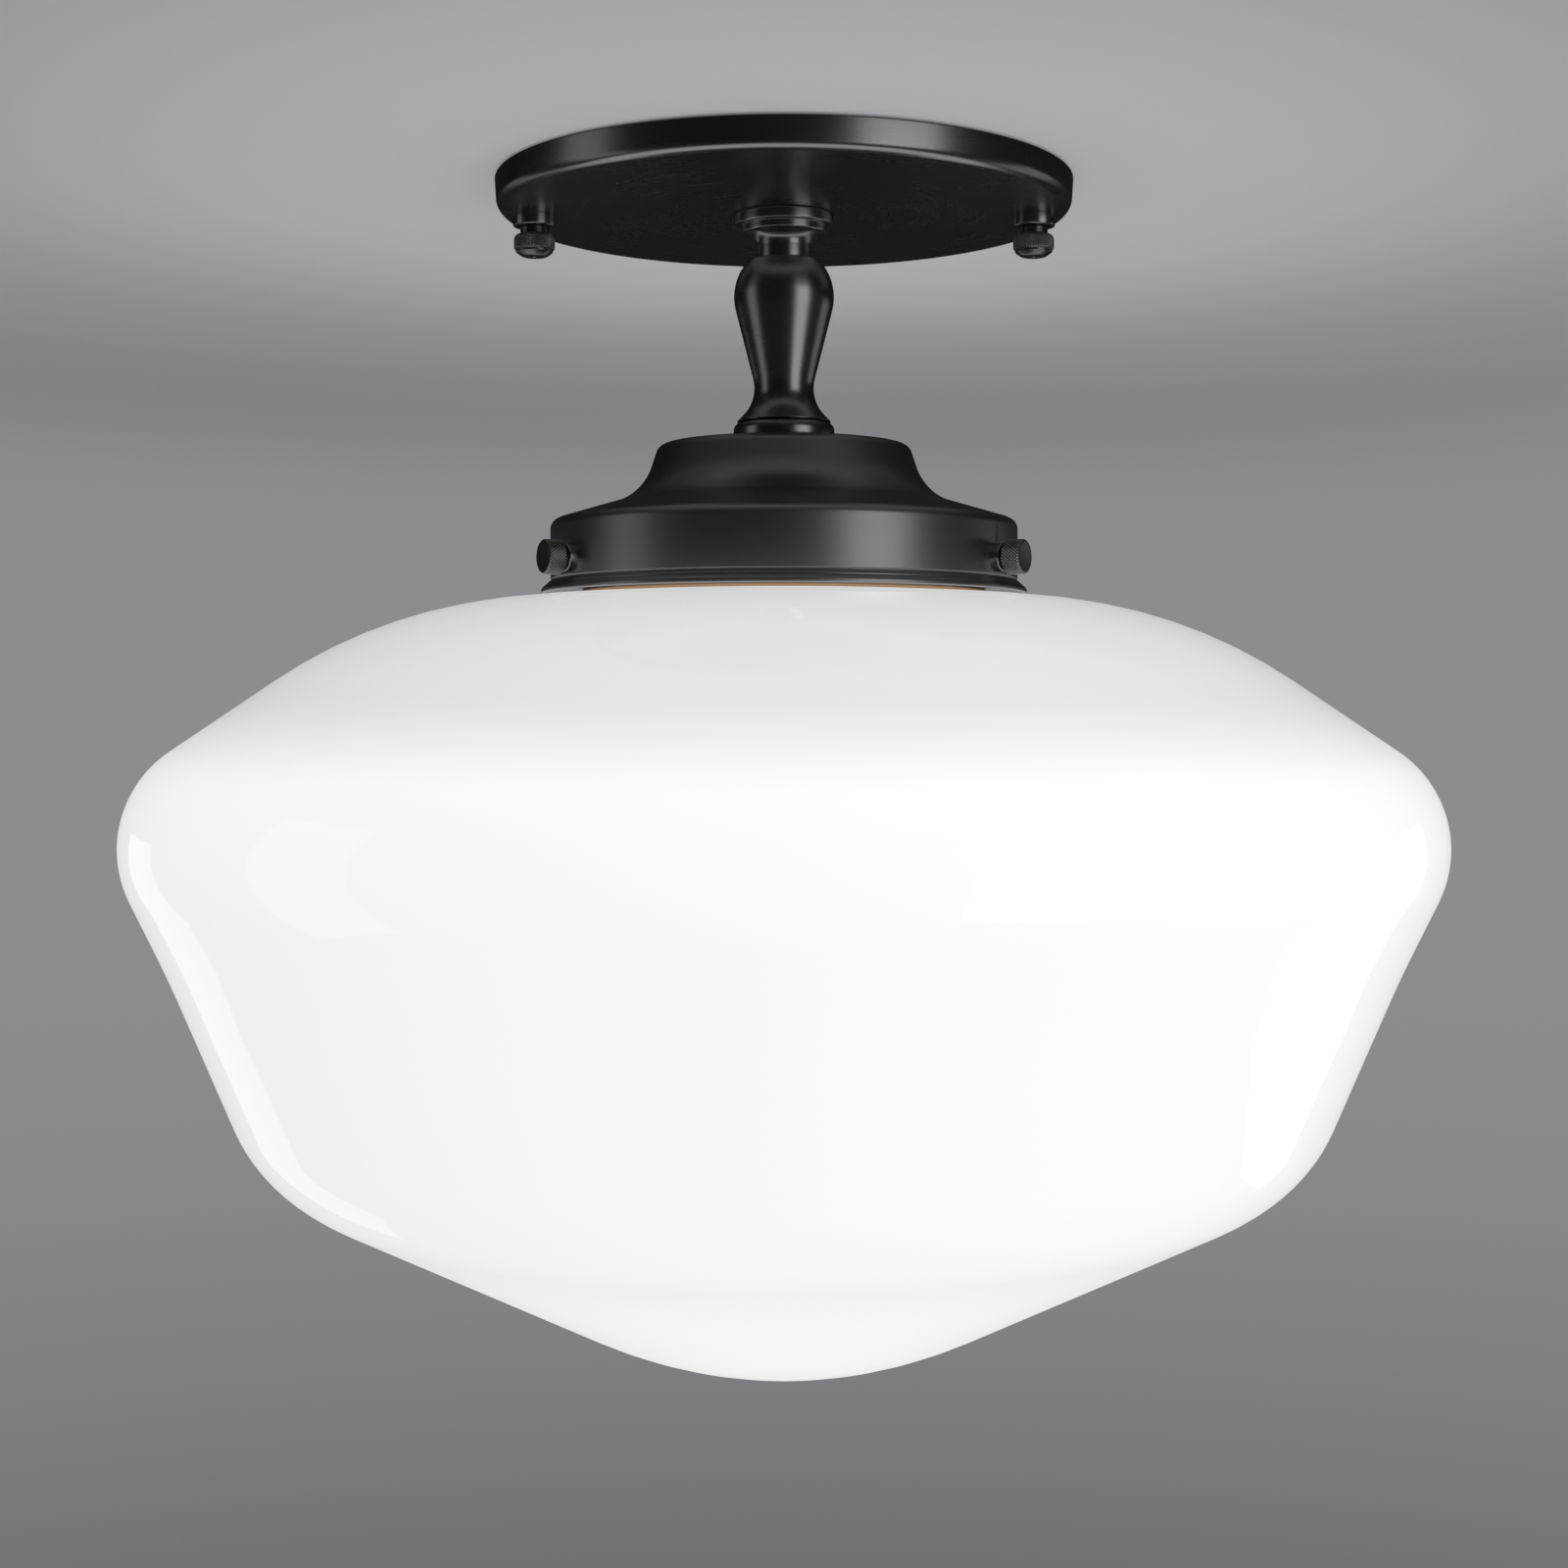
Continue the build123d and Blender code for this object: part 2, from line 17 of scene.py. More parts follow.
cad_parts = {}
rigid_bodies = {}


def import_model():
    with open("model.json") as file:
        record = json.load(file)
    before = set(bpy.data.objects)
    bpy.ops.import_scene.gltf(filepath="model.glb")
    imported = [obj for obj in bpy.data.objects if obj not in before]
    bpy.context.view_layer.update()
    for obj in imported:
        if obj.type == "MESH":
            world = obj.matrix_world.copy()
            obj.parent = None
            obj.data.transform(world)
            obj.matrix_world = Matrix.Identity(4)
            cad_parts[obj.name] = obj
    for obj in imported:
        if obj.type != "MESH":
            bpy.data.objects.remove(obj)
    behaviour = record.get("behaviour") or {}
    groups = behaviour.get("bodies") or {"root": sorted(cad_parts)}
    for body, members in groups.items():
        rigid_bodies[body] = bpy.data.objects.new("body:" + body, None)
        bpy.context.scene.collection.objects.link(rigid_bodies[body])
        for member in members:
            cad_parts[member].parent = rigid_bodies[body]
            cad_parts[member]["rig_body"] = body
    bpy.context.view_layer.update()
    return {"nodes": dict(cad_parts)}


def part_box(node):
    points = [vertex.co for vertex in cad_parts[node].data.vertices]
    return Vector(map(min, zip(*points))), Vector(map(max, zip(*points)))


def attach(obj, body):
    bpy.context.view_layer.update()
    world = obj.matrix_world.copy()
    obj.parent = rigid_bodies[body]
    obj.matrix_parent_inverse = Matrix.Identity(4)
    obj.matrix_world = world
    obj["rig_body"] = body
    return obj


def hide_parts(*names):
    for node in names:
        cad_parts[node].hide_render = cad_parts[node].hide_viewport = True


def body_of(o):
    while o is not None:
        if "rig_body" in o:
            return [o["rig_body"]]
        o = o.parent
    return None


bl_info = {
    "name": "Opal globe ceiling light",
    "version": (1, 0, 0),
    "blender": (4, 5, 0),
    "location": "View3D > Sidebar > Ceiling light",
    "description": "Builds the looks of a ceiling light round its CAD frame",
    "category": "Object",
}

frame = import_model()

MM = 0.001

# Sizes that several pieces share
SHEET_WALL = 1.2 * MM
TUBE_HOLE = 5.25 * MM
SCREW_HOLE = 2.43 * MM
THREADED_BORE = 2.13 * MM
SCREW_THREAD_DEPTH = 0.3 * MM
FINE_ROUND = 0.15 * MM
LIP_REACH = 2.2 * MM
BUSHING_REACH = 2.1 * MM

# Grain of the meshes
SEGMENTS = 192
THREAD_SEGMENTS = 48
THREAD_ROWS_A_PITCH = 6
KNURL_STEPS = 8
KNURL_ROWS = 4
LARGE_ROUND = 2 * MM
LARGE_ARC_STEP = radians(4)
SMALL_ARC_STEP = radians(18)
SHARP_ANGLE = radians(38)
ON_AXIS = 1e-7


# Places read from the frame

def top_of(node):
    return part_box(node)[1].z


def bottom_of(node):
    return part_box(node)[0].z


def reach_of(node):
    """Radius of a piece that is turned about the lamp's axis."""
    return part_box(node)[1].x


def middle_of(node):
    low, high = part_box(node)
    return (low + high) / 2


def half_width_of(node):
    low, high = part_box(node)
    return (high.x - low.x) / 2


# Settings that a user would change

def length(name, description, default):
    """A length in the add-on's panel, given here in millimetres."""
    return bpy.props.FloatProperty(
        name=name, description=description, default=default * MM, min=0.0, unit="LENGTH", precision=4)


def colour(name, description, default):
    return bpy.props.FloatVectorProperty(
        name=name, description=description, default=default, size=3, min=0.0, max=1.0, subtype="COLOR")


def share(name, description, default):
    return bpy.props.FloatProperty(
        name=name, description=description, default=default, min=0.0, max=1.0, subtype="FACTOR")


def angle(name, description, default):
    """An angle in the add-on's panel, given here in degrees."""
    return bpy.props.FloatProperty(
        name=name, description=description, default=radians(default), subtype="ANGLE", unit="ROTATION")


def count(name, description, default):
    return bpy.props.IntProperty(name=name, description=description, default=default, min=1)


class MetalSettings(bpy.types.PropertyGroup):
    """Sizes and finish of the turned and spun metal."""

    black: colour("Black", "Colour of the satin black finish", (0.009, 0.009, 0.0095))
    spun_roughness: share("Spun roughness", "Roughness of the black on the spun pieces", 0.36)
    turned_roughness: share("Turned roughness", "Roughness of the black on the turned pieces", 0.27)
    knurl_worn: colour("Knurl crests", "Colour of the rubbed crests of the knurling", (0.55, 0.52, 0.47))
    brass: colour("Brass", "Colour of bare brass", (0.72, 0.47, 0.22))
    zinc: colour("Zinc", "Colour of zinc-plated steel", (0.6, 0.61, 0.63))
    edge_round: length("Edge round", "Round on the edges of the turned pieces", 0.45)
    knurl_columns: count("Knurl columns", "Diamonds round a knurled head", 44)
    knurl_depth: length("Knurl depth", "Depth of the knurling", 0.25)
    thread_pitch: length("Thread pitch", "Pitch of the studs and screws", 0.79375)
    tube_pitch: length("Tube thread pitch", "Pitch of the threaded tube", 0.94)


class GlassSettings(bpy.types.PropertyGroup):
    """Finish of the globe and of the bulb."""

    opal: colour("Opal", "Colour of the opal glass", (0.88, 0.88, 0.89))
    gloss: share("Gloss roughness", "Roughness of the fire-polished glass", 0.05)
    # Colour and strength of the painted glow that stands in for the bulb's light through the opal glass
    glow_colour: colour("Glow", "Colour of the light that the glass gives off", (1.0, 0.997, 0.998))
    glow: share("Glow strength", "Brightness of the glass where the bulb is nearest", 0.94)
    # Painted reflection: the colour that the globe's neck takes for the fitter's bare brass mirrored in it
    neck: colour("Neck", "Colour of the glass that mirrors the fitter's bare inside", (0.37, 0.23, 0.137))
    wall: length("Wall", "Thickness of the glass", 3.0)


class StageSettings(bpy.types.PropertyGroup):
    """Camera, studio and lamps."""

    lens: bpy.props.FloatProperty(
        name="Lens", description="Focal length on a 36 mm sensor", default=54.0, unit="CAMERA")
    camera_distance: length("Camera distance", "How far the camera stands before the lamp's axis", 557.0)
    camera_drop: length("Camera drop", "How far the camera is below the ceiling", 122.3)
    camera_tilt: angle("Camera tilt", "How far the camera looks down", 1.9)
    paint: colour("Paint", "Colour of the ceiling and the floor about the object", (0.8, 0.8, 0.81))
    surroundings: colour("Surroundings", "Tone of the dim light all round", (0.012, 0.012, 0.013))
    overhead: colour("Overhead", "Tone of the light from above the ceiling", (0.22, 0.22, 0.225))
    # Tone of the walls' painted glow, seen by the camera and in mirrors
    backdrop: colour("Backdrop", "Tone that the walls show of themselves", (0.265, 0.265, 0.275))


class CeilingLightSettings(bpy.types.PropertyGroup):
    """All settings of the ceiling light."""

    metal: bpy.props.PointerProperty(type=MetalSettings)
    glass: bpy.props.PointerProperty(type=GlassSettings)
    stage: bpy.props.PointerProperty(type=StageSettings)


def settings():
    return bpy.context.scene.ceiling_light


# Node trees

class Wiring:
    """Adds nodes to a tree, with each input given as a value or as another node's output."""

    def __init__(self, tree):
        self.tree = tree

    def node(self, kind, inputs=None, **options):
        made = self.tree.nodes.new(kind)
        for name, value in options.items():
            setattr(made, name, value)
        for key, value in (inputs or {}).items():
            self.feed(made.inputs[key], value)
        return made

    def feed(self, socket, value):
        if isinstance(value, bpy.types.NodeSocket):
            self.tree.links.new(value, socket)
        else:
            socket.default_value = value

    def math(self, operation, *values):
        return self.node("ShaderNodeMath", dict(enumerate(values)), operation=operation).outputs[0]

    def mix(self, factor, first, second):
        """A colour between two, by a factor."""
        blend = self.node("ShaderNodeMix", {"Factor": factor}, data_type="RGBA")
        for name, value in (("A", first), ("B", second)):
            socket = next(s for s in blend.inputs if s.name == name and s.type == "RGBA")
            self.feed(socket, value)
        return next(s for s in blend.outputs if s.type == "RGBA")

    def vector(self, operation, *values, output="Vector"):
        return self.node("ShaderNodeVectorMath", dict(enumerate(values)), operation=operation).outputs[output]

    def ramp(self, value, start, end):
        """A smooth rise from nought to one while a value goes from a start to an end."""
        return self.node(
            "ShaderNodeMapRange", {"Value": value, "From Min": start, "From Max": end},
            interpolation_type="SMOOTHSTEP").outputs[0]

    def off_axis(self, position):
        """The part of a position that lies square to the lamp's axis, and its length."""
        flat = self.vector("MULTIPLY", position, (1.0, 1.0, 0.0))
        return flat, self.vector("LENGTH", flat, output="Value")


def new_tree(name, kind, inputs, outputs):
    """A node group with named sockets of given kinds, and its wiring and its two ends."""
    tree = bpy.data.node_groups.new(name, kind)
    for way, sockets in (("INPUT", inputs), ("OUTPUT", outputs)):
        for socket, socket_kind in sockets.items():
            tree.interface.new_socket(socket, in_out=way, socket_type=f"NodeSocket{socket_kind}")
    wiring = Wiring(tree)
    return tree, wiring, wiring.node("NodeGroupInput").outputs, wiring.node("NodeGroupOutput").inputs


def ridge(wiring, phase):
    """A triangle wave: nought at whole numbers of the phase and one halfway between them."""
    return wiring.math("MULTIPLY", wiring.math("PINGPONG", phase, 0.5), 2.0)


def band_of(wiring, given):
    """Turn round the axis, height, way outwards and mask of the points on a barrel's outer face."""
    position = wiring.node("GeometryNodeInputPosition").outputs[0]
    parts = wiring.node("ShaderNodeSeparateXYZ", {0: position}).outputs
    turn = wiring.math("DIVIDE", wiring.math("ARCTAN2", parts["Y"], parts["X"]), 2 * pi)
    flat, distance = wiring.off_axis(position)
    slack = 0.01 * MM
    on_face = wiring.math("GREATER_THAN", distance, wiring.math("SUBTRACT", given["Radius"], slack))
    above = wiring.math("GREATER_THAN", parts["Z"], wiring.math("SUBTRACT", given["Low"], slack))
    below = wiring.math("LESS_THAN", parts["Z"], wiring.math("ADD", given["High"], slack))
    mask = wiring.math("MULTIPLY", on_face, wiring.math("MULTIPLY", above, below))
    return turn, parts["Z"], wiring.vector("NORMALIZE", flat), mask


def end_tree(wiring, given, left, geometry):
    """Ends a tree with real geometry in its material."""
    real = wiring.node("GeometryNodeRealizeInstances", {"Geometry": geometry})
    dressed = wiring.node(
        "GeometryNodeSetMaterial", {"Geometry": real.outputs[0], "Material": given["Material"]})
    wiring.feed(left["Geometry"], dressed.outputs[0])


def cut_band(wiring, given, left, outwards, mask, crest):
    """Cuts the band down to the crest's height, keeps the crest as an attribute and ends the tree."""
    cut = wiring.math("MULTIPLY", given["Depth"], wiring.math("SUBTRACT", crest, 1.0))
    move = wiring.node(
        "ShaderNodeVectorMath", {0: outwards, "Scale": wiring.math("MULTIPLY", cut, mask)},
        operation="SCALE").outputs["Vector"]
    kept = wiring.node(
        "GeometryNodeStoreNamedAttribute",
        {"Geometry": given["Geometry"], "Name": "crest", "Value": wiring.math("MULTIPLY", crest, mask)},
        data_type="FLOAT", domain="POINT")
    moved = wiring.node("GeometryNodeSetPosition", {"Geometry": kept.outputs[0], "Offset": move})
    end_tree(wiring, given, left, moved.outputs[0])


MESH_INPUTS = {"Geometry": "Geometry", "Material": "Material"}
BAND_INPUTS = {**MESH_INPUTS, "Low": "Float", "High": "Float", "Radius": "Float", "Depth": "Float"}
MESH_OUTPUTS = {"Geometry": "Geometry"}


@cache
def knurl_tree():
    """Cuts a barrel's outer face into diamonds, by two rows of crossing grooves."""
    inputs = {**BAND_INPUTS, "Columns": "Int", "Rows": "Int"}
    tree, wiring, given, left = new_tree("Diamond knurl", "GeometryNodeTree", inputs, MESH_OUTPUTS)
    turn, height, outwards, mask = band_of(wiring, given)
    rise = wiring.math(
        "DIVIDE", wiring.math("SUBTRACT", height, given["Low"]),
        wiring.math("SUBTRACT", given["High"], given["Low"]))
    along = wiring.math("MULTIPLY", turn, given["Columns"])
    across = wiring.math("MULTIPLY", rise, given["Rows"])
    right_hand = ridge(wiring, wiring.math("ADD", along, across))
    left_hand = ridge(wiring, wiring.math("SUBTRACT", along, across))
    cut_band(wiring, given, left, outwards, mask, wiring.math("MINIMUM", right_hand, left_hand))
    return tree


@cache
def thread_tree():
    """Cuts a screw thread into a barrel's outer face."""
    inputs = {**BAND_INPUTS, "Pitch": "Float"}
    tree, wiring, given, left = new_tree("Screw thread", "GeometryNodeTree", inputs, MESH_OUTPUTS)
    turn, height, outwards, mask = band_of(wiring, given)
    phase = wiring.math("SUBTRACT", wiring.math("DIVIDE", height, given["Pitch"]), turn)
    cut_band(wiring, given, left, outwards, mask, ridge(wiring, phase))
    return tree


@cache
def ring_tree():
    """Shares out copies of a piece round the lamp's axis."""
    inputs = {**MESH_INPUTS, "Count": "Int"}
    tree, wiring, given, left = new_tree("Ring of pieces", "GeometryNodeTree", inputs, MESH_OUTPUTS)
    points = wiring.node("GeometryNodePoints", {"Count": given["Count"]})
    index = wiring.node("GeometryNodeInputIndex").outputs[0]
    turn = wiring.math("MULTIPLY", index, wiring.math("DIVIDE", 2 * pi, given["Count"]))
    copies = wiring.node(
        "GeometryNodeInstanceOnPoints",
        {"Points": points.outputs[0], "Instance": given["Geometry"],
         "Rotation": wiring.node("ShaderNodeCombineXYZ", {"Z": turn}).outputs[0]})
    end_tree(wiring, given, left, copies.outputs[0])
    return tree


def new_object(name, data):
    """An object at the origin, linked to the scene."""
    made = bpy.data.objects.new(name, data)
    bpy.context.scene.collection.objects.link(made)
    return made


def through_tree(mesh, tree, **values):
    """The mesh that a node tree makes from a mesh and the values of its named inputs."""
    blank = new_object("blank", mesh)
    modifier = blank.modifiers.new(tree.name, "NODES")
    modifier.node_group = tree
    identifiers = {item.name: item.identifier for item in tree.interface.items_tree if item.in_out == "INPUT"}
    for name, value in values.items():
        modifier[identifiers[name.title()]] = value
    made = plain_mesh(blank)
    bpy.data.objects.remove(blank)
    return made


def plain_mesh(obj):
    """The mesh of an object with its modifiers carried out."""
    bpy.context.view_layer.update()
    depsgraph = bpy.context.evaluated_depsgraph_get()
    return bpy.data.meshes.new_from_object(obj.evaluated_get(depsgraph))


# Turned meshes

def rounded(corners):
    """Points of an outline of (radius, height, round) corners, with an arc at each that has a round."""
    points = []
    for i, (radius, height, corner_round) in enumerate(corners):
        here = Vector((radius, height))
        if not corner_round:
            points.append(here)
            continue
        before = (Vector(corners[i - 1][:2]) - here).normalized()
        after = (Vector(corners[(i + 1) % len(corners)][:2]) - here).normalized()
        half = before.angle(after) / 2
        centre = here + (before + after).normalized() * corner_round / sin(half)
        start = here + before * corner_round / tan(half) - centre
        end = here + after * corner_round / tan(half) - centre
        turn = -start.angle_signed(end)
        arc_step = LARGE_ARC_STEP if corner_round > LARGE_ROUND else SMALL_ARC_STEP
        steps = max(2, ceil(abs(turn) / arc_step))
        points += [centre + Matrix.Rotation(turn * k / steps, 2) @ start for k in range(steps + 1)]
    return points


def inner_face(points, wall):
    """The points of an open outline moved a wall's thickness to the right of the way that it runs."""
    ways = [(after - before).normalized() for before, after in zip(points, points[1:])]
    moved = []
    for here, arriving, leaving in zip(points, [ways[0], *ways], [*ways, ways[-1]]):
        rights = [Vector((way.y, -way.x)) for way in (arriving, leaving)]
        right = (rights[0] + rights[1]).normalized()
        moved.append(here + right * wall / right.dot(rights[0]))
    return moved


def divided(low, high, rows):
    """Heights between two, for a face that is to be cut into rows."""
    return [low + (high - low) * row / rows for row in range(rows + 1)]


def turned(name, outline, segments=SEGMENTS, inside_from=None, closed=True):
    """A mesh turned about Z from an outline. From a given point on, faces take the second material."""
    vertices = []
    rings = []
    for point in outline:
        around = segments if point.x > ON_AXIS else 1
        rings.append([len(vertices) + k for k in range(around)])
        for k in range(around):
            turn = 2 * pi * k / segments
            vertices.append((point.x * cos(turn), point.x * sin(turn), point.y))
    faces = []
    material_places = []
    others = rings[1:] + (rings[:1] if closed else [])
    for i, (ring, other) in enumerate(zip(rings, others)):
        if len(ring) == 1 and len(other) == 1:
            continue
        for k in range(segments):
            corners = [ring[k % len(ring)], ring[(k + 1) % len(ring)], other[(k + 1) % len(other)],
                       other[k % len(other)]]
            faces.append(list(dict.fromkeys(corners)))
            material_places.append(int(inside_from is not None and i >= inside_from))
    mesh = bpy.data.meshes.new(name)
    mesh.from_pydata(vertices, [], faces)
    mesh.polygons.foreach_set("material_index", material_places)
    mesh.polygons.foreach_set("use_smooth", [True] * len(faces))
    if closed:
        face_outwards(mesh)
    return mesh


def face_outwards(mesh):
    cleaned = bmesh.new()
    cleaned.from_mesh(mesh)
    bmesh.ops.remove_doubles(cleaned, verts=cleaned.verts, dist=1e-8)
    bmesh.ops.recalc_face_normals(cleaned, faces=cleaned.faces)
    cleaned.to_mesh(mesh)
    cleaned.free()


def joined(name, *meshes):
    """One mesh of several closed ones."""
    whole = bmesh.new()
    for mesh in meshes:
        whole.from_mesh(mesh)
    mesh = bpy.data.meshes.new(name)
    whole.to_mesh(mesh)
    whole.free()
    return mesh


def drilled(mesh, drills):
    """The mesh with round holes, each drill a mesh of its own."""
    blank = new_object("blank", mesh)
    tools = []
    for drill in drills:
        tool = new_object("drill", drill)
        tools.append(tool)
        cut = blank.modifiers.new("hole", "BOOLEAN")
        cut.operation = "DIFFERENCE"
        cut.solver = "EXACT"
        cut.object = tool
    made = plain_mesh(blank)
    for obj in [blank, *tools]:
        bpy.data.objects.remove(obj)
    return made


def rod(radius, low, high, segments=64):
    """A plain round bar on the Z axis, as a drill."""
    outline = [Vector((0, low)), Vector((radius, low)), Vector((radius, high)), Vector((0, high))]
    return turned("rod", outline, segments)


def placed(mesh, matrix):
    mesh.transform(matrix)
    return mesh


def shifted(mesh, x):
    """A mesh that was made on the lamp's axis, moved sideways."""
    return placed(mesh, Matrix.Translation((x, 0, 0)))


def show(name, mesh, nodes, finishes):
    """Makes a finished mesh a piece that stands for CAD nodes and rides on their body."""
    mesh.polygons.foreach_set("use_smooth", [True] * len(mesh.polygons))
    mesh.set_sharp_from_angle(angle=SHARP_ANGLE)
    mesh.materials.clear()
    for finish in finishes:
        mesh.materials.append(finish())
    piece = new_object(name, mesh)
    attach(piece, body_of(frame["nodes"][nodes[0]])[0])
    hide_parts(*nodes)


def dress(finish, *nodes):
    """Gives CAD nodes whose shape is right a finish."""
    for node in nodes:
        materials = frame["nodes"][node].data.materials
        materials.clear()
        materials.append(finish())


# Surface effects shared by the finishes

def object_position(wiring):
    return wiring.node("ShaderNodeTexCoord").outputs["Object"]


@cache
def turned_grain_tree():
    """Fine rings left by turning or spinning about the lamp's axis, so many to a metre, fading in and out."""
    fades_a_radian = 1.5
    broadening = (0.12, 0.12, 1.0)
    tree, wiring, given, left = new_tree(
        "Turned grain", "ShaderNodeTree", {"Rings": "Float"}, {"Height": "Float", "Streak": "Float"})
    position = object_position(wiring)
    parts = wiring.node("ShaderNodeSeparateXYZ", {0: position}).outputs
    distance = wiring.off_axis(position)[1]
    turn = wiring.math("ARCTAN2", parts["Y"], parts["X"])
    ring_place = wiring.node(
        "ShaderNodeCombineXYZ",
        {"X": wiring.math("MULTIPLY", distance, given["Rings"]),
         "Y": wiring.math("MULTIPLY", parts["Z"], given["Rings"]),
         "Z": wiring.math("MULTIPLY", turn, fades_a_radian)}).outputs[0]
    broad_place = wiring.vector("MULTIPLY", ring_place, broadening)
    for name, place, detail in (("Height", ring_place, 3.0), ("Streak", broad_place, 2.0)):
        noise = wiring.node("ShaderNodeTexNoise", {"Vector": place, "Scale": 1.0, "Detail": detail})
        wiring.feed(left[name], noise.outputs["Fac"])
    return tree


@cache
def speckle_tree():
    """Fine pitting of lacquer, plating or casting, and broad clouds from handling, so many to a metre."""
    tree, wiring, given, left = new_tree(
        "Fine speckle", "ShaderNodeTree", {"Speckles": "Float", "Clouds": "Float"},
        {"Height": "Float", "Cloud": "Float"})
    place = object_position(wiring)
    for name, density, detail in (("Height", "Speckles", 2.0), ("Cloud", "Clouds", 4.0)):
        noise = wiring.node(
            "ShaderNodeTexNoise", {"Vector": place, "Scale": given[density], "Detail": detail})
        wiring.feed(left[name], noise.outputs["Fac"])
    return tree


def grain_of(wiring, rings):
    return wiring.node("ShaderNodeGroup", {"Rings": rings}, node_tree=turned_grain_tree()).outputs


def speckle_of(wiring, speckles, clouds):
    densities = {"Speckles": speckles, "Clouds": clouds}
    return wiring.node("ShaderNodeGroup", densities, node_tree=speckle_tree()).outputs


# Finishes

def new_finish(name, **values):
    """A material with a Principled shader whose plain values are set on its own sockets."""
    material = bpy.data.materials.new(name)
    material.use_nodes = True
    shader = material.node_tree.nodes["Principled BSDF"]
    for key, value in values.items():
        shader.inputs[key.replace("_", " ")].default_value = value
    return material, Wiring(material.node_tree), shader.inputs


def bump(wiring, height, depth):
    return wiring.node("ShaderNodeBump", {"Height": height, "Distance": depth, "Strength": 1.0}).outputs[0]


def spread(wiring, value, middle, reach):
    """A value from noise, spread about a middle."""
    return wiring.math("MULTIPLY_ADD", wiring.math("SUBTRACT", value, 0.5), 2 * reach, middle)


def rgba(colour_value, level=1.0):
    return (*[channel * level for channel in colour_value], 1.0)


def satin_black(name, roughness, depth):
    """Satin black lacquer over turning rings, a little clouded by handling."""
    darker, paler = 0.75, 1.3
    grain_share = 0.4
    metal = settings().metal
    material, wiring, shader = new_finish(name, IOR=3.3)
    grain = grain_of(wiring, rings=5200.0)
    speckle = speckle_of(wiring, speckles=3800.0, clouds=38.0)
    tone = wiring.mix(speckle["Cloud"], rgba(metal.black, darker), rgba(metal.black, paler))
    rough = wiring.math(
        "ADD", spread(wiring, speckle["Cloud"], roughness, reach=0.015),
        spread(wiring, grain["Streak"], middle=0.0, reach=0.012))
    height = wiring.math("MULTIPLY_ADD", grain["Height"], grain_share, speckle["Height"])
    wiring.feed(shader["Base Color"], tone)
    wiring.feed(shader["Roughness"], rough)
    wiring.feed(shader["Normal"], bump(wiring, height, depth))
    return material


@cache
def spun_black():
    return satin_black("Satin black on spun metal", settings().metal.spun_roughness, depth=0.003 * MM)


@cache
def turned_black():
    return satin_black("Satin black on turned metal", settings().metal.turned_roughness, depth=0.0006 * MM)


@cache
def knurled_black():
    """The same black, rubbed through to bare metal in patches on the knurling's crests."""
    crest_power, wear = 2.0, 2.4
    metal = settings().metal
    material, wiring, shader = new_finish("Knurled black, rubbed crests", IOR=2.2)
    speckle = speckle_of(wiring, speckles=5200.0, clouds=260.0)
    crest = wiring.node("ShaderNodeAttribute", attribute_name="crest").outputs["Fac"]
    rubbed = wiring.math("MULTIPLY", wiring.math("POWER", crest, crest_power), speckle["Cloud"])
    worn = wiring.math("MINIMUM", wiring.math("MULTIPLY", rubbed, wear), 1.0)
    wiring.feed(shader["Base Color"], wiring.mix(worn, rgba(metal.black), rgba(metal.knurl_worn)))
    wiring.feed(shader["Metallic"], worn)
    wiring.feed(shader["Roughness"], spread(wiring, speckle["Cloud"], middle=0.3, reach=0.08))
    wiring.feed(shader["Normal"], bump(wiring, speckle["Height"], depth=0.01 * MM))
    return material


def bare_metal(name, tone, tint, roughness, rings):
    """Bare or plated metal with turning rings and a cloudy tint."""
    speckle_share = 0.5
    material, wiring, shader = new_finish(name, Metallic=1.0)
    grain = grain_of(wiring, rings)
    speckle = speckle_of(wiring, speckles=3000.0, clouds=55.0)
    wiring.feed(shader["Base Color"], wiring.mix(speckle["Cloud"], rgba(tone), rgba(tint)))
    rough = wiring.math(
        "ADD", spread(wiring, speckle["Cloud"], roughness, reach=0.1),
        spread(wiring, grain["Streak"], middle=0.0, reach=0.06))
    wiring.feed(shader["Roughness"], rough)
    height = wiring.math("MULTIPLY_ADD", speckle["Height"], speckle_share, grain["Height"])
    wiring.feed(shader["Normal"], bump(wiring, height, depth=0.012 * MM))
    return material


@cache
def bare_brass():
    tarnish = 0.72
    brass = settings().metal.brass
    tint = [channel * tarnish for channel in brass]
    return bare_metal("Bare brass", brass, tint, roughness=0.34, rings=4200.0)


@cache
def zinc_plate():
    yellowing = (0.86, 0.85, 0.78)
    zinc = settings().metal.zinc
    tint = [channel * level for channel, level in zip(zinc, yellowing)]
    return bare_metal("Zinc-plated steel", zinc, tint, roughness=0.38, rings=900.0)


@cache
def tinned_brass():
    return bare_metal("Tinned contact", (0.68, 0.67, 0.65), (0.55, 0.53, 0.5), roughness=0.4, rings=2500.0)


@cache
def rolled_aluminium():
    return bare_metal("Rolled aluminium", (0.74, 0.75, 0.77), (0.64, 0.65, 0.67), roughness=0.3, rings=2200.0)


def clouded(name, tones, roughness, reach, depth, speckles, clouds, **values):
    """A finish with clouds of two tones, a spread of roughness and a fine unevenness."""
    material, wiring, shader = new_finish(name, **values)
    speckle = speckle_of(wiring, speckles, clouds)
    wiring.feed(shader["Base Color"], wiring.mix(speckle["Cloud"], *[rgba(tone) for tone in tones]))
    wiring.feed(shader["Roughness"], spread(wiring, speckle["Cloud"], roughness, reach))
    wiring.feed(shader["Normal"], bump(wiring, speckle["Height"], depth))
    return material


@cache
def green_screw():
    return clouded(
        "Green earthing screw", [(0.02, 0.17, 0.05), (0.05, 0.3, 0.1)], roughness=0.36, reach=0.1,
        depth=0.015 * MM, speckles=4200.0, clouds=300.0, Metallic=0.55)


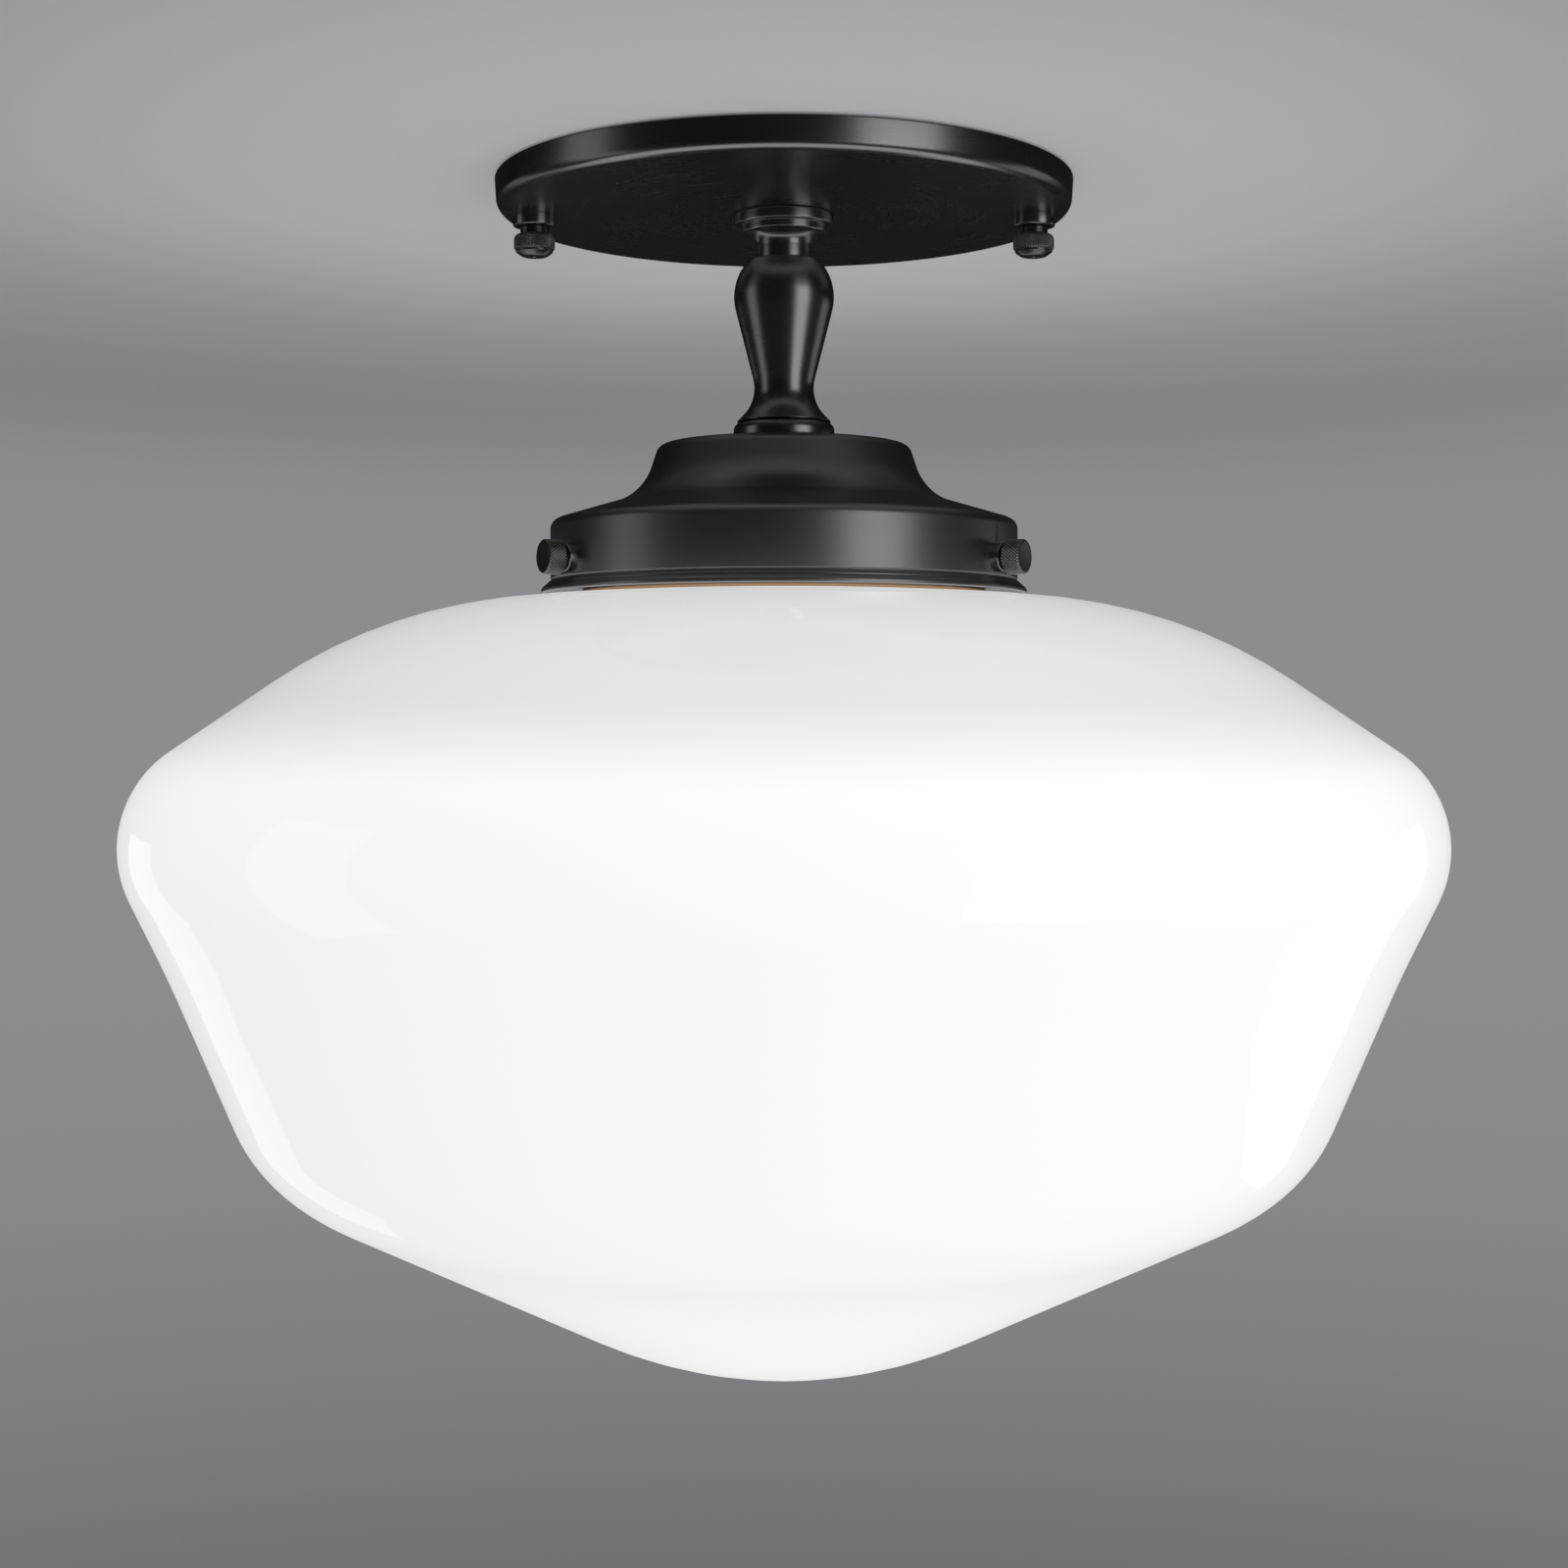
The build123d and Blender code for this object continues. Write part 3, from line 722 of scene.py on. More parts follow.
def glazed(name, tone, roughness, depth):
    """A fired or moulded surface with a soft gloss."""
    shade = 0.94
    tones = [[channel * shade for channel in tone], tone]
    return clouded(name, tones, roughness, reach=0.05, depth=depth, speckles=900.0, clouds=60.0)


@cache
def porcelain():
    return glazed("Glazed porcelain", (0.84, 0.83, 0.79), roughness=0.16, depth=0.03 * MM)


@cache
def black_glass():
    return glazed("Black base glass", (0.014, 0.014, 0.016), roughness=0.1, depth=0.03 * MM)


@cache
def nylon():
    return glazed("Nylon tip", (0.7, 0.69, 0.64), roughness=0.45, depth=0.02 * MM)


def height_ramp(wiring, start, end):
    """A smooth rise from nought to one between two heights."""
    height = wiring.node("ShaderNodeSeparateXYZ", {0: object_position(wiring)}).outputs["Z"]
    return wiring.ramp(height, start, end)


def glow_of(wiring, top, bottom, brightest, weakest):
    """Light given off by glass, weaker towards its upper end. On the globe it is a painted glow that stands
    in for the bulb's light, and its fall towards the shoulder is painted shade; on the bulb it is the lamp's
    own glow.
    """
    glass = settings().glass
    fall = height_ramp(wiring, bottom, top)
    return wiring.mix(fall, rgba(glass.glow_colour, brightest), rgba(glass.glow_colour, weakest))


@cache
def opal_glass():
    """Opal glass with a painted glow for the bulb's light: painted shade on its shoulder, brightest at its
    nose, and a painted reflection of the fitter's brass fading to painted shade in its neck.
    """
    # Shares of the globe's depth below the fitter, where the painted glow steps from shoulder to body to nose
    shoulder_end, body_start, body_end, nose_start = 0.13, 0.23, 0.67, 0.85
    # Heights against the fitter's lower edge where the neck's painted reflection and the mouth's painted
    # shade begin and end
    neck_start, neck_end, mouth_shade_start, mouth_shade_end = -0.55 * MM, -0.35 * MM, -0.2 * MM, 0.7 * MM
    # Painted shade: the body and the shoulder glow weaker than the nose, the shoulder weakest
    shaded_shoulder_glow, body_glow = 0.705, 0.904
    # Level of the opal's paler clouds, and of the painted shade deep in the fitter's mouth
    cloud, mouth = 0.985, 0.06
    glass = settings().glass
    material, wiring, shader = new_finish(
        "Opal glass", Roughness=glass.gloss, IOR=1.5, Emission_Strength=glass.glow, Coat_Weight=0.2,
        Coat_Roughness=glass.gloss)
    speckle = speckle_of(wiring, speckles=11.0, clouds=7.0)
    opal = wiring.mix(speckle["Cloud"], rgba(glass.opal, cloud), rgba(glass.opal))
    fitter_end = bottom_of("fitter")
    depth = fitter_end - bottom_of("globe")
    # Painted reflection of the fitter's bare brass on the neck, fading into painted shade deeper in the
    # fitter's mouth, in both base colour and glow
    neck = height_ramp(wiring, fitter_end + neck_start, fitter_end + neck_end)
    mouth_shade = height_ramp(wiring, fitter_end + mouth_shade_start, fitter_end + mouth_shade_end)
    tint = wiring.mix(mouth_shade, rgba(glass.neck), rgba(glass.neck, mouth))
    body = glow_of(
        wiring, fitter_end - shoulder_end * depth, fitter_end - body_start * depth, body_glow, shaded_shoulder_glow)
    nose = height_ramp(wiring, fitter_end - body_end * depth, fitter_end - nose_start * depth)
    glow = wiring.mix(nose, body, rgba(glass.glow_colour))
    wiring.feed(shader["Base Color"], wiring.mix(neck, opal, tint))
    wiring.feed(shader["Emission Color"], wiring.mix(neck, glow, tint))
    wiring.feed(shader["Normal"], bump(wiring, speckle["Height"], depth=0.6 * MM))
    return material


@cache
def frosted_glass():
    material, wiring, shader = new_finish("Frosted bulb glass", Roughness=0.55, Emission_Strength=1.0)
    speckle = speckle_of(wiring, speckles=2600.0, clouds=40.0)
    shaded, pale = (0.83, 0.83, 0.82), (0.9, 0.9, 0.88)
    tone = wiring.mix(speckle["Cloud"], rgba(shaded), rgba(pale))
    top, middle = top_of("bulb_envelope"), middle_of("bulb_envelope").z
    wiring.feed(shader["Base Color"], tone)
    wiring.feed(shader["Emission Color"], glow_of(wiring, top, middle, brightest=1.0, weakest=0.15))
    wiring.feed(shader["Normal"], bump(wiring, speckle["Height"], depth=0.02 * MM))
    return material


# Canopy, crossbar, studs and thumb nuts

STUD_SIDES = ("left", "right")


def stud_x(side):
    return middle_of(f"canopy_thumb_nut_{side}").x


class CEILINGLIGHT_OT_canopy(bpy.types.Operator):
    """Spins the canopy and drills it for the stem and the studs"""

    bl_idname = "ceiling_light.canopy"
    bl_label = "Canopy"

    def execute(self, context):
        rim = reach_of("canopy")
        underside = bottom_of("canopy")
        draft = 0.4 * MM
        bend = 2.5 * MM
        hem = 0.4 * MM
        outer = rounded(
            [(rim - hem, 0, 0), (rim, 0, hem), (rim - draft, underside, bend), (0, underside, 0)])[1:]
        inner = inner_face(outer, SHEET_WALL)
        inner[0].y = outer[0].y
        pan = turned("canopy", outer + inner[::-1], inside_from=len(outer))
        holes = [rod(TUBE_HOLE, 2 * underside, -underside)]
        for side in STUD_SIDES:
            holes.append(shifted(rod(SCREW_HOLE, 2 * underside, -underside), stud_x(side)))
        show("canopy_pan", drilled(pan, holes), ["canopy"], [turned_black, zinc_plate])
        return {"FINISHED"}


class CEILINGLIGHT_OT_crossbar(bpy.types.Operator):
    """Dresses the crossbar with its nuts and earthing screw, and threads its studs"""

    bl_idname = "ceiling_light.crossbar"
    bl_label = "Crossbar and studs"

    def execute(self, context):
        metal = settings().metal
        dress(zinc_plate, "crossbar", "stud_lock_nuts", "canopy_hex_nut", "canopy_lock_washer")
        dress(green_screw, "ground_screw")
        low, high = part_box("crossbar_studs")
        radius = (high.y - low.y) / 2
        studs = []
        for side in (-1, 1):
            stud = threaded_rod("stud", radius, low.z, high.z, metal.thread_pitch, SCREW_THREAD_DEPTH)
            studs.append(shifted(stud, side * (high.x - radius)))
        pair = joined("threaded_studs", *studs)
        show("threaded_studs", pair, ["crossbar_studs"], [zinc_plate])
        return {"FINISHED"}


def threaded_rod(name, radius, low, high, pitch, depth, bore=0.0):
    """A threaded bar or tube on the Z axis with chamfered ends."""
    end_chamfer = 0.4 * MM
    rows = ceil((high - low) / pitch * THREAD_ROWS_A_PITCH)
    face = [Vector((radius, z)) for z in divided(low + end_chamfer, high - end_chamfer, rows)]
    outline = [Vector((bore, low)), Vector((radius - end_chamfer, low)), *face,
               Vector((radius - end_chamfer, high)), Vector((bore, high))]
    blank = turned(name, outline, THREAD_SEGMENTS)
    return through_tree(
        blank, thread_tree(), material=zinc_plate(), low=low + end_chamfer, high=high - end_chamfer,
        radius=radius, depth=depth, pitch=pitch)


class CEILINGLIGHT_OT_thumb_nuts(bpy.types.Operator):
    """Turns the collars and knurls the thumb nuts that hold the canopy up"""

    bl_idname = "ceiling_light.thumb_nuts"
    bl_label = "Collars and thumb nuts"

    def execute(self, context):
        for side in STUD_SIDES:
            self.make_collar(side)
            self.make_nut(side)
        return {"FINISHED"}

    def make_collar(self, side):
        node = f"canopy_collar_{side}"
        top, bottom, radius = top_of(node), bottom_of(node), half_width_of(node)
        edge, seat_edge = settings().metal.edge_round, 0.1 * MM
        outline = rounded(
            [(SCREW_HOLE, top, 0), (radius, top, seat_edge), (radius, bottom, edge), (SCREW_HOLE, bottom, 0)])
        collar = shifted(turned(node, outline, segments=96), middle_of(node).x)
        show(f"collar_{side}", collar, [node], [turned_black])

    def make_nut(self, side):
        metal = settings().metal
        node = f"canopy_thumb_nut_{side}"
        top, bottom, radius = top_of(node), bottom_of(node), half_width_of(node)
        neck, shoulder = 3.3 * MM, 3.5 * MM
        chamfer = 0.5 * MM
        rim = radius - chamfer
        rim_height = 0.4 * MM
        shoulder_drop = 1.4 * MM
        face, face_round = 2.9 * MM, 1.4 * MM
        point, point_height = 0.5 * MM, 0.35 * MM
        slight, small = 0.1 * MM, 0.2 * MM
        neck_height, head_height = 1.6 * MM, 3.8 * MM
        head_top = top - neck_height
        head_bottom = head_top - head_height
        face_bottom = bottom + point_height
        bore_spare = 0.6 * MM
        bore_end = bottom_of("crossbar_studs") - bore_spare
        band = divided(head_bottom + chamfer, head_top - shoulder_drop, KNURL_ROWS * KNURL_STEPS)
        upper = rounded(
            [(THREADED_BORE, bore_end, 0), (THREADED_BORE, top, 0), (neck, top, FINE_ROUND),
             (neck, head_top, slight), (shoulder, head_top, 0)])
        for turn in divided(0, pi / 2, 2 * KNURL_STEPS)[1:]:
            out, drop = (radius - shoulder) * sin(turn), shoulder_drop * (1 - cos(turn))
            upper.append(Vector((shoulder + out, head_top - drop)))
        barrel = [Vector((radius, z)) for z in reversed(band[1:-1])]
        lower = rounded(
            [(radius, band[0], 0), (rim, head_bottom, FINE_ROUND), (rim, head_bottom - rim_height, small),
             (face, face_bottom, face_round), (point, face_bottom, slight), (0, bottom, 0), (0, bore_end, 0)])
        blank = turned(node, upper + barrel + lower, metal.knurl_columns * KNURL_STEPS)
        nut = through_tree(
            blank, knurl_tree(), material=knurled_black(), low=band[0], high=head_top, radius=shoulder,
            depth=metal.knurl_depth, columns=metal.knurl_columns, rows=KNURL_ROWS)
        show(f"thumb_nut_{side}", shifted(nut, stud_x(side)), [node], [knurled_black])


# Stem

class CEILINGLIGHT_OT_stem(bpy.types.Operator):
    """Turns the stem's collar, vase and base ring, and threads the tube inside them"""

    bl_idname = "ceiling_light.stem"
    bl_label = "Stem"

    def execute(self, context):
        metal = settings().metal
        self.turn("stem_collar", self.collar_corners(metal.edge_round))
        self.turn("stem_vase", self.vase_corners())
        self.turn("stem_base_ring", self.base_ring_corners())
        low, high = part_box("threaded_nipple")
        bore, thread_depth = 3.5 * MM, 0.45 * MM
        tube = threaded_rod("tube", high.x, low.z, high.z, metal.tube_pitch, thread_depth, bore)
        show("threaded_tube", tube, ["threaded_nipple"], [zinc_plate])
        return {"FINISHED"}

    def turn(self, node, corners):
        ends = [(TUBE_HOLE, top_of(node), 0), *corners, (TUBE_HOLE, bottom_of(node), 0)]
        show(f"{node}_turned", turned(node, rounded(ends)), [node], [turned_black])

    def collar_corners(self, edge):
        top, bottom = top_of("stem_collar"), bottom_of("stem_collar")
        ring, neck = reach_of("stem_collar"), 6.45 * MM
        step_width, ring_height, step_height = 1.65 * MM, 2.6 * MM, 1.8 * MM
        step = ring - step_width
        ring_bottom = top - ring_height
        step_bottom = ring_bottom - step_height
        cove, small = 3.2 * MM, 0.2 * MM
        return [
            (ring, top, edge), (ring, ring_bottom, edge), (step, ring_bottom, small),
            (step, step_bottom, edge), (neck, step_bottom, cove), (neck, bottom, small)]

    def vase_corners(self):
        top, bottom = top_of("stem_vase"), bottom_of("stem_vase")
        shoulder, belly, waist, foot = 8.6 * MM, 12.7 * MM, 6.0 * MM, 11.3 * MM
        belly_height, waist_height = top - 6.4 * MM, top - 32.6 * MM
        shoulder_round, belly_round, waist_round, foot_round = 0.8 * MM, 12.5 * MM, 9.1 * MM, 0.2 * MM
        return [
            (shoulder, top, shoulder_round), (belly, belly_height, belly_round),
            (waist, waist_height, waist_round), (foot, bottom, foot_round)]

    def base_ring_corners(self):
        reach = reach_of("stem_base_ring")
        upper_round, lower_round = 2.0 * MM, 2.4 * MM
        return [
            (reach, top_of("stem_base_ring"), upper_round), (reach, bottom_of("stem_base_ring"), lower_round)]


# Shade holder

SCREW_COUNT = 3
FIRST_SCREW_ANGLE = radians(-30)


def screw_place(number):
    """Where a piece made along +Z from the axis lies for a shade screw."""
    turn = FIRST_SCREW_ANGLE - number * 2 * pi / SCREW_COUNT
    height = middle_of("shade_screw_1").z
    lie_down = Matrix.Rotation(pi / 2, 4, "Y")
    return Matrix.Translation((0, 0, height)) @ Matrix.Rotation(turn, 4, "Z") @ lie_down


def drum_radius():
    return reach_of("fitter") - LIP_REACH


def bushing_end():
    return drum_radius() + BUSHING_REACH


class CEILINGLIGHT_OT_fitter(bpy.types.Operator):
    """Spins the fitter with its grooves and flared lip, drills it, and sets the bushings on its wall"""

    bl_idname = "ceiling_light.fitter"
    bl_label = "Fitter and bushings"

    def execute(self, context):
        top, bottom = top_of("fitter"), bottom_of("fitter")
        lip, drum = reach_of("fitter"), drum_radius()
        lip_height, flare_height, groove_height = 1.0 * MM, 3.0 * MM, 3.45 * MM
        groove_depth, notch_depth = 0.45 * MM, 0.22 * MM
        flare_shares = (0.12, 0.42, 0.58)
        flare_top = Vector((drum, bottom + flare_height))
        flare_end = Vector((lip, bottom + lip_height))
        groove_start = Vector((drum, bottom + groove_height))
        groove_end, notch_start, notch_end = [flare_top.lerp(flare_end, part) for part in flare_shares]
        flare_round, lip_round = 0.7 * MM, 0.3 * MM
        crown_radius, cove_radius = 29.5 * MM, 33.4 * MM
        cove_height, drum_height = top - 11.75 * MM, top - 18.2 * MM
        crown_round, cove_round, drum_round = 2.5 * MM, 13.4 * MM, 2.4 * MM
        crown = [
            (0, top, 0), (crown_radius, top, crown_round), (cove_radius, cove_height, cove_round),
            (drum, drum_height, drum_round)]
        outer = rounded(
            [*crown, *self.groove(groove_start, groove_end, groove_depth),
             *self.groove(notch_start, notch_end, notch_depth), (*flare_end, flare_round),
             (lip, bottom, lip_round), (lip - SHEET_WALL, bottom, 0)])[:-1]
        core = rounded([*crown, (*flare_top, 0), (*flare_end, 0), (lip, bottom, 0)])
        inner = inner_face(core, SHEET_WALL)
        shell = turned("fitter", outer + inner[::-1], inside_from=len(outer) - 1)
        drills = [rod(TUBE_HOLE, bottom, top + SHEET_WALL)]
        for number in range(SCREW_COUNT):
            drills.append(placed(rod(SCREW_HOLE, drum / 2, lip + SHEET_WALL), screw_place(number)))
        show("fitter_shell", drilled(shell, drills), ["fitter"], [spun_black, bare_brass])
        dress(zinc_plate, "fitter_hex_nut", "fitter_lock_washer")
        self.make_bushings(drum)
        return {"FINISHED"}

    def groove(self, start, end, depth):
        """Corners of a fine groove turned into the wall between two points of its outline."""
        soft = 0.06 * MM
        way = (end - start).normalized()
        middle = (start + end) / 2 + Vector((way.y, -way.x)) * depth
        return [(*start, soft), (*middle, soft), (*end, soft)]

    def make_bushings(self, drum):
        radius, edge, sunk = 3.2 * MM, 0.4 * MM, 0.4 * MM
        start, end = drum - sunk, bushing_end()
        outline = rounded(
            [(THREADED_BORE, start, 0), (radius, start, 0), (radius, end, edge),
             (THREADED_BORE, end, FINE_ROUND)])
        boss = placed(turned("bushing", outline, segments=72), screw_place(0))
        ring = through_tree(boss, ring_tree(), material=turned_black(), count=SCREW_COUNT)
        show("screw_bushings", ring, ["shade_screw_bushings"], [turned_black])


class CEILINGLIGHT_OT_shade_screws(bpy.types.Operator):
    """Knurls the heads and threads the shanks of the three shade screws"""

    bl_idname = "ceiling_light.shade_screws"
    bl_label = "Shade screws"

    def execute(self, context):
        for number in range(SCREW_COUNT):
            self.make_screw(number)
            dress(nylon, f"shade_screw_tip_{number + 1}")
        return {"FINISHED"}

    def make_screw(self, number):
        metal = settings().metal
        node = f"shade_screw_{number + 1}"
        shank, neck, head = 2.08 * MM, 2.75 * MM, 4.0 * MM
        gap, neck_height, head_height, shank_reach = 0.1 * MM, 0.7 * MM, 4.3 * MM, 4.9 * MM
        neck_start = bushing_end() + gap
        head_start = neck_start + neck_height
        head_end = head_start + head_height
        shank_start = drum_radius() - shank_reach
        chamfer = 0.4 * MM
        dish, small = 0.25 * MM, 0.2 * MM
        columns = round(metal.knurl_columns * head / half_width_of("canopy_thumb_nut_right"))
        band = divided(head_start + chamfer, head_end - chamfer, KNURL_ROWS * KNURL_STEPS)
        rows = ceil((neck_start - shank_start) / metal.thread_pitch * THREAD_ROWS_A_PITCH)
        thread_low, thread_high = shank_start + chamfer, neck_start - chamfer
        thread = [Vector((shank, z)) for z in divided(thread_low, thread_high, rows)]
        under_head = rounded(
            [(shank, neck_start, 0), (neck, neck_start, FINE_ROUND), (neck, head_start, small),
             (head - chamfer, head_start, FINE_ROUND), (head, band[0], 0)])
        face = rounded(
            [(head, band[-1], 0), (head - chamfer, head_end, small), (head - 2 * chamfer, head_end, small),
             (0, head_end - dish, 0)])
        outline = [Vector((0, shank_start)), Vector((shank - chamfer, shank_start)), *thread, *under_head,
                   *[Vector((head, z)) for z in band[1:-1]], *face]
        blank = turned(node, outline, columns * KNURL_STEPS)
        cut = through_tree(
            blank, thread_tree(), material=knurled_black(), low=thread_low, high=thread_high, radius=shank,
            depth=SCREW_THREAD_DEPTH, pitch=metal.thread_pitch)
        screw = through_tree(
            cut, knurl_tree(), material=knurled_black(), low=band[0], high=band[-1], radius=head,
            depth=metal.knurl_depth, columns=columns, rows=KNURL_ROWS)
        placed(screw, screw_place(number))
        show(f"knurled_screw_{number + 1}", screw, [node], [knurled_black])


# Globe

# Radius, drop below the shoulder and round of the outline's corners from neck to nose, in millimetres
GLOBE_CORNERS = [
    (46.0, 0.0, 5.5), (89.2, 0.0, 112.0), (159.3, 48.1, 26.4), (141.9, 85.0, 266.0), (122.8, 131.6, 35.9),
    (40.1, 175.1, 122.0), (6.0, 184.6, 30.0), (0.0, 184.6, 0.0)]


class CEILINGLIGHT_OT_globe(bpy.types.Operator):
    """Blows the globe, with its rolled lip, even wall and soft nose"""

    bl_idname = "ceiling_light.globe"
    bl_label = "Globe"

    def execute(self, context):
        wall = settings().glass.wall
        lip_top = top_of("globe")
        lip, lip_height, bead, lip_cove = 49.5 * MM, 5.0 * MM, 1.4 * MM, 0.8 * MM
        lip_bottom = lip_top - lip_height
        shoulder = bottom_of("globe") + GLOBE_CORNERS[-1][1] * MM
        body = [(radius * MM, shoulder - drop * MM, bend * MM) for radius, drop, bend in GLOBE_CORNERS]
        neck = body[0][0]
        outer = rounded(
            [(neck - wall, lip_top, 0), (lip, lip_top, bead), (lip, lip_bottom, bead),
             (neck, lip_bottom, lip_cove), *body])[1:]
        core = rounded([(neck, lip_top, 0), *body])
        inner = inner_face(core, wall)
        glass = turned("globe", outer + inner[::-1], segments=256)
        show("opal_globe", glass, ["globe"], [opal_glass])
        return {"FINISHED"}


# Lampholder and bulb

class CEILINGLIGHT_OT_lampholder(bpy.types.Operator):
    """Dresses the lampholder"""

    bl_idname = "ceiling_light.lampholder"
    bl_label = "Lampholder"

    def execute(self, context):
        dress(porcelain, "socket_cap", "socket_body")
        dress(bare_brass, "socket_screw_shell", "socket_terminal_screws", "socket_centre_contact")
        return {"FINISHED"}


class CEILINGLIGHT_OT_bulb(bpy.types.Operator):
    """Dresses the bulb"""

    bl_idname = "ceiling_light.bulb"
    bl_label = "Bulb"

    def execute(self, context):
        dress(frosted_glass, "bulb_envelope")
        dress(rolled_aluminium, "bulb_base_shell")
        dress(black_glass, "bulb_base_insulator")
        dress(tinned_brass, "bulb_tip_contact")
        return {"FINISHED"}


# Stage

class Softbox(NamedTuple):
    """A soft lamp as the object sees it, in degrees. A level of one is as bright as white paper."""

    turn: float
    rise: float
    width: float
    height: float
    level: float


SOFTBOXES = {
    "key": Softbox(turn=44, rise=0, width=32, height=52, level=0.8),
    "rim_right": Softbox(turn=115, rise=-13, width=27, height=40, level=0.26),
    "rim_left": Softbox(turn=-130, rise=-21, width=14, height=46, level=0.26),
    "side_left": Softbox(turn=-80, rise=-4, width=22, height=60, level=0.3)}


class CEILINGLIGHT_OT_stage(bpy.types.Operator):
    """Sets up the ceiling, walls and floor, the lamps, the world and the camera"""

    bl_idname = "ceiling_light.stage"
    bl_label = "Stage"

    def execute(self, context):
        paint = self.room_paint()
        self.make_room(paint)
        self.make_shell(paint)
        self.make_lamps()
        self.make_world(context.scene)
        self.make_camera(context.scene)
        context.scene.view_settings.view_transform = "Standard"
        return {"FINISHED"}

    def make_room(self, paint):
        """A round room with coves, whose ceiling has an opening above the canopy, as for a ceiling box."""
        opening, room, floor = 0.05, 2.6, -2.6
        cove, floor_cove = 2.1, 0.5
        lift = 0.3 * MM
        outline = rounded(
            [(opening, lift, 0), (room, lift, cove), (room, floor, floor_cove), (0, floor, 0)])
        self.show_round("room", outline, paint)

    def make_shell(self, paint):
        """A round shell about the room, which shows behind the object from above the ceiling."""
        shell, middle = 4.5, -1.0
        turns = divided(0, pi, rows=48)
        outline = [Vector((shell * sin(turn), middle + shell * cos(turn))) for turn in turns]
        self.show_round("shell", outline, paint)

    def show_round(self, name, outline, paint):
        """Makes a surface turned about the axis that only the camera sees."""
        mesh = turned(name, outline, segments=128, closed=False)
        mesh.materials.append(paint)
        surface = new_object(name, mesh)
        surface.visible_diffuse = False
        surface.visible_glossy = False
        surface.visible_shadow = False

    def room_paint(self):
        """Paint, seen only from inside, that takes the lamps' light about the object alone; it also shows a
        painted glow to the camera and to mirrors, darker towards the floor as painted shade.
        """
        lit_end, lit_start, walls_start, walls_end = 0.8, 0.35, -0.25, -1.8
        floor_shade_level, lit_level = 0.45, 0.62
        stage = settings().stage
        material, wiring, shader = new_finish("Room paint", Roughness=0.9, Specular_IOR_Level=0.1)
        lit = wiring.ramp(wiring.off_axis(object_position(wiring))[1], lit_end, lit_start)
        wiring.feed(shader["Base Color"], wiring.mix(lit, (0, 0, 0, 1), rgba(stage.paint)))
        # Painted shade: the walls' painted glow grows darker towards the floor
        fall = height_ramp(wiring, walls_start, walls_end)
        painted_wall_glow = wiring.mix(fall, rgba(stage.backdrop), rgba(stage.backdrop, floor_shade_level))
        wiring.feed(shader["Emission Color"], wiring.mix(lit, painted_wall_glow, rgba(stage.backdrop, lit_level)))
        rays = wiring.node("ShaderNodeLightPath").outputs
        mirrored = wiring.math("MAXIMUM", rays["Is Glossy Ray"], rays["Is Transmission Ray"])
        wiring.feed(shader["Emission Strength"], wiring.math("MAXIMUM", rays["Is Camera Ray"], mirrored))
        clear = wiring.node("ShaderNodeBsdfTransparent").outputs[0]
        behind = wiring.node("ShaderNodeNewGeometry").outputs["Backfacing"]
        seen = wiring.node("ShaderNodeMixShader", {0: behind})
        paint = material.node_tree.nodes["Principled BSDF"].outputs[0]
        wiring.tree.links.new(paint, seen.inputs[1])
        wiring.tree.links.new(clear, seen.inputs[2])
        wiring.tree.links.new(seen.outputs[0], material.node_tree.nodes["Material Output"].inputs["Surface"])
        return material

    def make_lamps(self):
        """Softboxes round the object, each turned towards its middle."""
        target = Vector((0, 0, -0.16))
        distance = 1.2
        # Watts to a square metre of a lamp that shows at a level of one
        full_level = 4.0
        for name, box in SOFTBOXES.items():
            turn, rise = radians(box.turn), radians(box.rise)
            lamp = bpy.data.lights.new(name, "AREA")
            lamp.shape = "RECTANGLE"
            lamp.size = 2 * distance * tan(radians(box.width) / 2)
            lamp.size_y = 2 * distance * tan(radians(box.height) / 2)
            lamp.energy = full_level * lamp.size * lamp.size_y * box.level
            softbox = new_object(name, lamp)
            way = Vector((sin(turn) * cos(rise), -cos(turn) * cos(rise), sin(rise)))
            softbox.location = target + distance * way
            softbox.rotation_euler = (-way).to_track_quat("-Z", "Y").to_euler()
            softbox.visible_camera = False

    def make_world(self, scene):
        """Dim all round and paler overhead, so that the open canopy shows from above."""
        overhead_start, overhead_end = 0.5, 0.95
        stage = settings().stage
        world = bpy.data.worlds.new("Pale overhead")
        world.use_nodes = True
        wiring = Wiring(world.node_tree)
        way = wiring.node("ShaderNodeTexCoord").outputs["Generated"]
        rise = wiring.node("ShaderNodeSeparateXYZ", {0: way}).outputs["Z"]
        overhead = wiring.ramp(rise, overhead_start, overhead_end)
        tone = wiring.mix(overhead, rgba(stage.surroundings), rgba(stage.overhead))
        wiring.feed(world.node_tree.nodes["Background"].inputs["Color"], tone)
        scene.world = world

